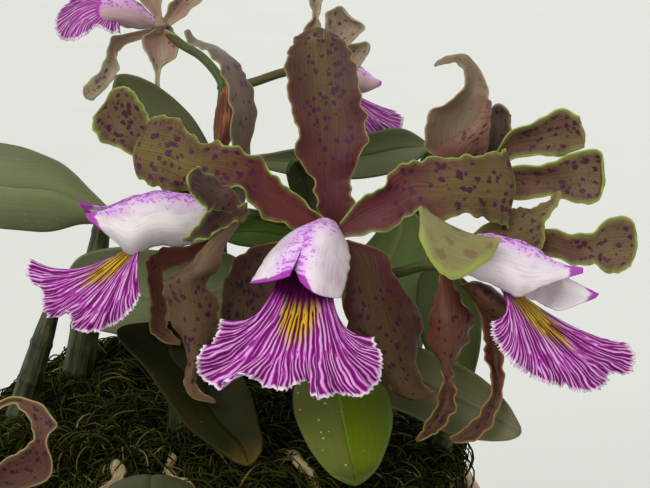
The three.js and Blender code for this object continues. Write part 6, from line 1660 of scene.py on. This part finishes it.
def middle_bloom():
    """The bloom that faces the camera."""
    rails = [MIDDLE_LIP_THROAT, MIDDLE_LIP_MIDDLE, MIDDLE_LIP_RIM]
    bloom("middle", [
        ("column", "column", "column", [column_violet], [tube(seen(MIDDLE_COLUMN), COLUMN_RADII, seed=2)]),
        ("hood", "lip_hood", "hood", [hood_left_half, hood_right_half],
         [lobe(MIDDLE_LIP_LEFT_LOBE, 11), lobe(MIDDLE_LIP_RIGHT_LOBE, 12, tint=1)]),
        ("fan", "lip_frill", "lip", [middle_frill], [frill(rails, 300, 56, seed=5)]),
        ("left_petal", "left_petal", "petal", [left_petal],
         [petal(MIDDLE_LEFT_PETAL, 110, 36, wave=0.8, waves=5, seed=21)]),
        ("right_petal", "right_petal", "petal", [right_petal],
         [petal(MIDDLE_RIGHT_PETAL, 110, 36, wave=0.8, waves=4, blunt=0.45, seed=22)]),
        ("right_sepal", "right_sepal", "tepal", [brown_sepal],
         [petal(MIDDLE_RIGHT_SEPAL, wave=0.4, waves=4, seed=23, **CALM_MARGIN)]),
        ("left_sepal", "left_sepal", "tepal", [brown_sepal],
         [petal(MIDDLE_LEFT_SEPAL, seed=24, **CALM_MARGIN)]),
        ("dorsal", "dorsal_sepal", "tepal", [dorsal],
         [petal(MIDDLE_DORSAL, 100, 32, wave=0.8, waves=4, seed=25)]),
    ])


def left_bloom():
    """The left bloom, seen from its side."""
    rails = [LEFT_LIP_THROAT, LEFT_LIP_MIDDLE, LEFT_LIP_RIM]
    bloom("left", [
        ("hood", "lip_hood", "hood", [side_hood, column_violet],
         [lobe(LEFT_LIP_NEAR_LOBE, 31), lobe(LEFT_LIP_FAR_LOBE, 32),
          tube(seen(LEFT_COLUMN), COLUMN_RADII, seed=3, tint=1)]),
        ("fan", "lip_frill", "lip", [left_frill], [frill(rails, 280, 48, seed=6)]),
        ("near_petal", "near_petal", "petal", [side_petal],
         [petal(LEFT_NEAR_PETAL_UPPER, seed=33), petal(LEFT_NEAR_PETAL_LOWER, seed=34)]),
        ("near_sepal", "near_sepal", "tepal", [olive_sepal],
         [petal(LEFT_NEAR_SEPAL, seed=35, **CALM_MARGIN)]),
        ("far_sepal", "far_sepal", "tepal", [red_sepal], [petal(LEFT_FAR_SEPAL, seed=36, **CALM_MARGIN)]),
        ("dorsal", "dorsal_sepal", "tepal", [mauve_sepal], [petal(LEFT_DORSAL, seed=37, **CALM_MARGIN)]),
        ("far_petal", "far_petal", "petal", [far_petal],
         [petal(LEFT_FAR_PETAL, wave=0.5, waves=4, seed=38, **SOFT_MARGIN)]),
    ])


def right_bloom():
    """The right bloom, seen from its other side."""
    rails = [RIGHT_LIP_THROAT, RIGHT_LIP_MIDDLE, RIGHT_LIP_RIM]
    bloom("right", [
        ("hood", "lip_hood", "hood", [right_hood, column_violet, right_far_hood],
         [lobe(RIGHT_LIP_NEAR_LOBE, 41), lobe(RIGHT_LIP_FAR_LOBE, 42, tint=2),
          tube(seen(RIGHT_COLUMN), COLUMN_RADII, seed=4, tint=1)]),
        ("fan", "lip_frill", "lip", [right_frill], [frill(rails, 280, 48, tooth=1.6, teeth=80, seed=7)]),
        ("near_petal", "near_petal", "petal", [pale_petal],
         [petal(RIGHT_NEAR_PETAL, seed=43, **CALM_MARGIN)]),
        ("near_sepal", "near_sepal", "tepal", [tan_sepal], [petal(RIGHT_NEAR_SEPAL, seed=44)]),
        ("far_sepal", "far_sepal", "tepal", [tan_sepal],
         [petal(RIGHT_FAR_SEPAL, seed=45, **CALM_MARGIN),
          petal(RIGHT_FAR_SEPAL_FOLD, 40, 20, seed=46, ruffle=0.2, scallop=0.2)]),
        ("dorsal", "dorsal_sepal", "tepal", [olive_dorsal], [petal(RIGHT_DORSAL, seed=47, **CALM_MARGIN)]),
        ("far_petal", "far_petal", "petal", [far_petal],
         [petal(RIGHT_FAR_PETAL, wave=0.4, waves=3, seed=48, **SOFT_MARGIN)]),
    ])


def back_blooms():
    """The three blooms at the back."""
    bloom("back_right", [
        ("curl", "curled_sepal", "tepal", [curl_sepal, curl_fold],
         [petal(BACK_RIGHT_CURL, 80, 20, seed=51, **NARROW_MARGIN),
          petal(BACK_RIGHT_CURL_FOLD, 50, 20, seed=55, tint=1, **NARROW_MARGIN)]),
        ("upper", "upper_petal", "petal", [far_petal],
         [petal(BACK_RIGHT_UPPER, 70, 24, seed=52, **SOFT_MARGIN)]),
        ("lower", "lower_petal", "petal", [far_petal],
         [petal(BACK_RIGHT_LOWER, 70, 24, seed=53, **SOFT_MARGIN)]),
        ("strap", "strap_sepal", "tepal", [mauve_sepal],
         [petal(BACK_RIGHT_STRAP, 50, 20, seed=54, **NARROW_MARGIN)]),
    ])
    simple_bloom("back_left", [BACK_LEFT_HANGING, BACK_LEFT_DROOPING, BACK_LEFT_RISING, BACK_LEFT_DORSAL],
                 BACK_LEFT_CORE, BACK_LEFT_HOOD, [BACK_LEFT_THROAT, BACK_LEFT_MIDDLE, BACK_LEFT_RIM], 60, 8)
    simple_bloom("back_middle", [BACK_MIDDLE_UPPER, BACK_MIDDLE_LOWER, BACK_MIDDLE_STRAP], BACK_MIDDLE_CORE,
                 BACK_MIDDLE_HOOD, [BACK_MIDDLE_THROAT, BACK_MIDDLE_MIDDLE, BACK_MIDDLE_RIM], 70, 9)


def simple_bloom(side, tepals, core, hood, rails, seed, fan_seed):
    """A blurred bloom: tepals round a centre, one side-lobe piece and a plain fan."""
    blades = [petal(ribs, 50, 18, seed=seed + k, **SOFT_MARGIN) for k, ribs in enumerate(tepals)]
    fan = frill(rails, 150, 30, folds=9, fold=0.6, seed=fan_seed)
    bloom(side, [
        ("tepals", "tepals", "tepal", [soft_tepal], blades + [heart(core)]),
        ("hood", "hood", "hood", [back_hood], [lobe(hood, seed + 5, 40, 20)]),
        ("fan", "frill", "lip", [back_frill], [fan]),
    ])


def corner_bloom():
    """The lower left bloom, whose lip is the middle bloom's, moved."""
    blades = [petal(ribs, 60, 20, seed=80 + k, **SOFT_MARGIN)
              for k, ribs in enumerate((CORNER_HOOK, CORNER_LEFT, CORNER_DOWN))]
    lobes = [[shifted(rib, CORNER_LIP_SHIFT) for rib in ribs]
             for ribs in (MIDDLE_LIP_LEFT_LOBE, MIDDLE_LIP_RIGHT_LOBE)]
    rails = [shifted(places, CORNER_LIP_SHIFT)
             for places in (MIDDLE_LIP_THROAT, MIDDLE_LIP_MIDDLE, MIDDLE_LIP_RIM)]
    bloom("corner", [
        ("tepals", "tepals", "tepal", [corner_tepal], blades + [heart(CORNER_CORE)]),
        ("hood", "hood", "hood", [hood_left_half, hood_right_half],
         [lobe(ribs, 85 + k, 50, 24, tint=k) for k, ribs in enumerate(lobes)]),
        ("fan", "frill", "lip", [middle_frill], [frill(rails, 220, 40, seed=10)]),
    ])


def leaves():
    """Leaves, one piece each."""
    for k, (name, leaf) in enumerate(LEAVES.items()):
        finish = LEAF_OWN.get(name, LEAF_FINISH[leaf["colour"]])
        blade = petal(leaf["ribs"], 90, 32, LEAF_THICKNESS, seed=100 + k, **LEAF_MARGIN)
        piece("orchid_" + name, [blade], [finish], [name])


def canes():
    """Pseudobulbs, with the rootstock that joins their feet."""
    for name, bulbs in BULBS.items():
        feet = [(*bulb["foot"], BULB_FOOT_HEIGHT) for bulb in bulbs]
        parts = [tube(feet, [3.0] * 4, sides=16, steps=30, ribs=5, rib=0.05, seed=7)]
        for k, bulb in enumerate(bulbs):
            head = seen(bulb["top"])
            run = [np.array(feet[k]), (np.array(feet[k]) + head) / 2, head]
            swell = [share * bulb["radius"] for share in (0.6, 0.75, 1, 0.95, 0.8, 0.5)]
            parts.append(tube(run, swell, sides=40, steps=90, ribs=9, rib=0.045,
                              rings=(0.2, 0.38, 0.56, 0.75, 0.95), ring=0.3, seed=10 + k))
        piece("orchid_" + name, parts, [cane_green], [name])


def flower_stems():
    """Flower stems, their pedicels and the dry sheath on the back one."""
    for name, stems in STEMS.items():
        radius = stems["radius"] * STEM_SLIMNESS
        parts = []
        for k, run in enumerate(stems["runs"]):
            slim = [radius * 0.92] * (2 * len(run)) + [radius * 1.35]
            parts.append(tube(seen(run), slim, sides=24, steps=90, ribs=6, rib=0.03,
                              rings=(0.3, 0.55) if k == 0 else (0.04,), ring=0.4, seed=20 + k))
            parts.append(heart(run[-1], tint=1))
        if name == "flower_stem_back":
            parts.append(petal(BACK_STEM_SHEATH, 60, 20, SHEATH_THICKNESS, ruffle=0.1, scallop=0.2, seed=28,
                               tint=2))
        piece("orchid_" + name, parts, [stem_green, joint_green, sheath_brown], [name])
    end = seen(CORNER_BASE)
    foot = np.array(CORNER_STEM_FOOT, float)
    bend = (foot + end) / 2 + [0, 0, 8]
    piece("orchid_flower_stem_corner",
          [tube([foot, bend, end], [1.6, 1.6, 2.6], sides=24, steps=60, seed=29), heart(CORNER_BASE, tint=1)],
          [stem_green, joint_green], ["flower_stem_corner"])


def pot_and_ground():
    """Pot, potting mix, moss with its sprigs and strands, and the roots that lie on it."""
    inner = POT_TOP_RADIUS - POT_WALL
    rim_foot = POT_HEIGHT - RIM_HEIGHT
    under_rim = POT_TOP_RADIUS - RIM_STEP
    profile = [
        (0, 0.4), (POT_BASE_RADIUS - 7, 0.4), (POT_BASE_RADIUS - 6, 0), (POT_BASE_RADIUS - 2, 0),
        (POT_BASE_RADIUS - 0.6, 0.6), (POT_BASE_RADIUS, 2), (under_rim - 1.3, rim_foot - 1),
        (under_rim - 0.6, rim_foot), (POT_TOP_RADIUS - 1.4, rim_foot + 0.8),
        (POT_TOP_RADIUS - 0.4, rim_foot + 2), (POT_TOP_RADIUS, rim_foot + 4),
        (POT_TOP_RADIUS, POT_HEIGHT - 3), (POT_TOP_RADIUS - 0.5, POT_HEIGHT - 1.2),
        (POT_TOP_RADIUS - 1.6, POT_HEIGHT - 0.2),
        (POT_TOP_RADIUS - 2.5, POT_HEIGHT), (inner + 1, POT_HEIGHT), (inner, POT_HEIGHT - 1),
        (inner - 1, rim_foot), (POT_BASE_RADIUS - POT_WALL, POT_FLOOR), (0, POT_FLOOR)]
    piece("orchid_pot", [lathe(profile, 180)], [clay], ["pot"])
    wall = POT_WALL + 1.5
    fill = [(0, POT_FLOOR + 0.3), (POT_BASE_RADIUS - wall, POT_FLOOR + 0.3),
            (POT_TOP_RADIUS - wall - 1, rim_foot), (POT_TOP_RADIUS - wall, MIX_TOP), (0, MIX_TOP)]
    piece("orchid_potting_mix", [lathe(fill, 96)], [bark], ["potting_mix"])
    piece("orchid_moss", [moss_ground()], [moss_dark], ["moss"])
    whole = open_ground()
    strands("orchid_moss_sprigs", whole, moss_light, **SPRIGS)
    strands("orchid_moss_strands", whole, moss_light, **STRANDS)
    roots = [
        root_run([(-52, -30), (-58, -38), (-56, -43), (-50, -47)], 1.5, 1),
        root_run([(-36, -38), (-42, -50), (-40, -58), (-36, -62)], 1.5, 2),
        root_run([(-22, -42), (-18, -50), (-22, -56), (-26, -60)], 1.7, 3),
        root_run([(-8, -40), (-4, -52), (2, -60), (8, -64)], 1.2, 4),
        root_run([(20, -36), (28, -48), (36, -56)], 1.4, 5),
        root_run([(-60, -6), (-66, -14), (-62, -26)], 1.3, 6),
        root_run([(10, 34), (0, 46), (-12, 54), (-24, 58)], 1.5, 7),
        root_run([(44, 30), (52, 38), (48, 46)], 1.4, 8),
    ]
    piece("orchid_aerial_roots", roots, [root_pale], [])


pot_and_ground()
flower_stems()
canes()
leaves()
middle_bloom()
left_bloom()
right_bloom()
back_blooms()
corner_bloom()


def plain_paint(name, colour):
    """One matt colour with a faint grain."""
    paint = Paint(name)
    place = paint.object_place()
    grain = paint.noise(place, 6.0, 2.0)
    return paint.finish(paint.scale(tone(*colour), 0.97 + grain * 0.06), 0.7)


def floor():
    """A wide plain floor under the pot."""
    corners = [(x * FLOOR_REACH, y * FLOOR_REACH, 0) for x, y in ((-1, -1), (1, -1), (1, 1), (-1, 1))]
    mesh = bpy.data.meshes.new("studio floor")
    mesh.from_pydata(corners, [], [(0, 1, 2, 3)])
    mesh.materials.append(plain_paint("studio floor", FLOOR_COLOUR))
    linked("studio_floor", mesh)


def sun(name, place, strength, spread, colour=(1, 1, 1)):
    """A soft light from far away: strength on the ground, spread in degrees."""
    data = bpy.data.lights.new(name, "SUN")
    data.energy = strength
    data.angle = math.radians(spread)
    data.color = colour
    obj = linked(name, data)
    heading = mathutils.Vector(LIT_MIDDLE) - mathutils.Vector(place)
    obj.rotation_euler = heading.to_track_quat("-Z", "Y").to_euler()


def camera():
    """A camera where the photograph was taken from."""
    data = bpy.data.cameras.new("camera")
    data.sensor_width = SENSOR_WIDTH
    data.lens = SENSOR_WIDTH * FOCAL_PIXELS / PHOTO_WIDTH
    data.clip_start = 0.01
    obj = linked("camera", data)
    aim = mathutils.Vector(VIEW_POINT) * MM
    back = VIEW_DISTANCE * MM
    obj.location = aim + mathutils.Vector((0, -math.cos(VIEW_TILT) * back, math.sin(VIEW_TILT) * back))
    obj.rotation_euler = (math.pi / 2 - VIEW_TILT, 0, 0)
    bpy.context.scene.camera = obj


def studio():
    """Floor, sky, two lights and the camera."""
    floor()
    world = bpy.data.worlds.new("soft studio")
    world.use_nodes = True
    sky = world.node_tree.nodes["Background"]
    sky.inputs[0].default_value = SKY_COLOUR
    sky.inputs[1].default_value = SKY_STRENGTH
    bpy.context.scene.world = world
    bpy.context.scene.view_settings.view_transform = "Standard"
    sun("window above left", WINDOW_PLACE, strength=1.5, spread=50, colour=WINDOW_COLOUR)
    sun("light behind", REAR_LIGHT_PLACE, strength=0.5, spread=60)
    camera()


studio()
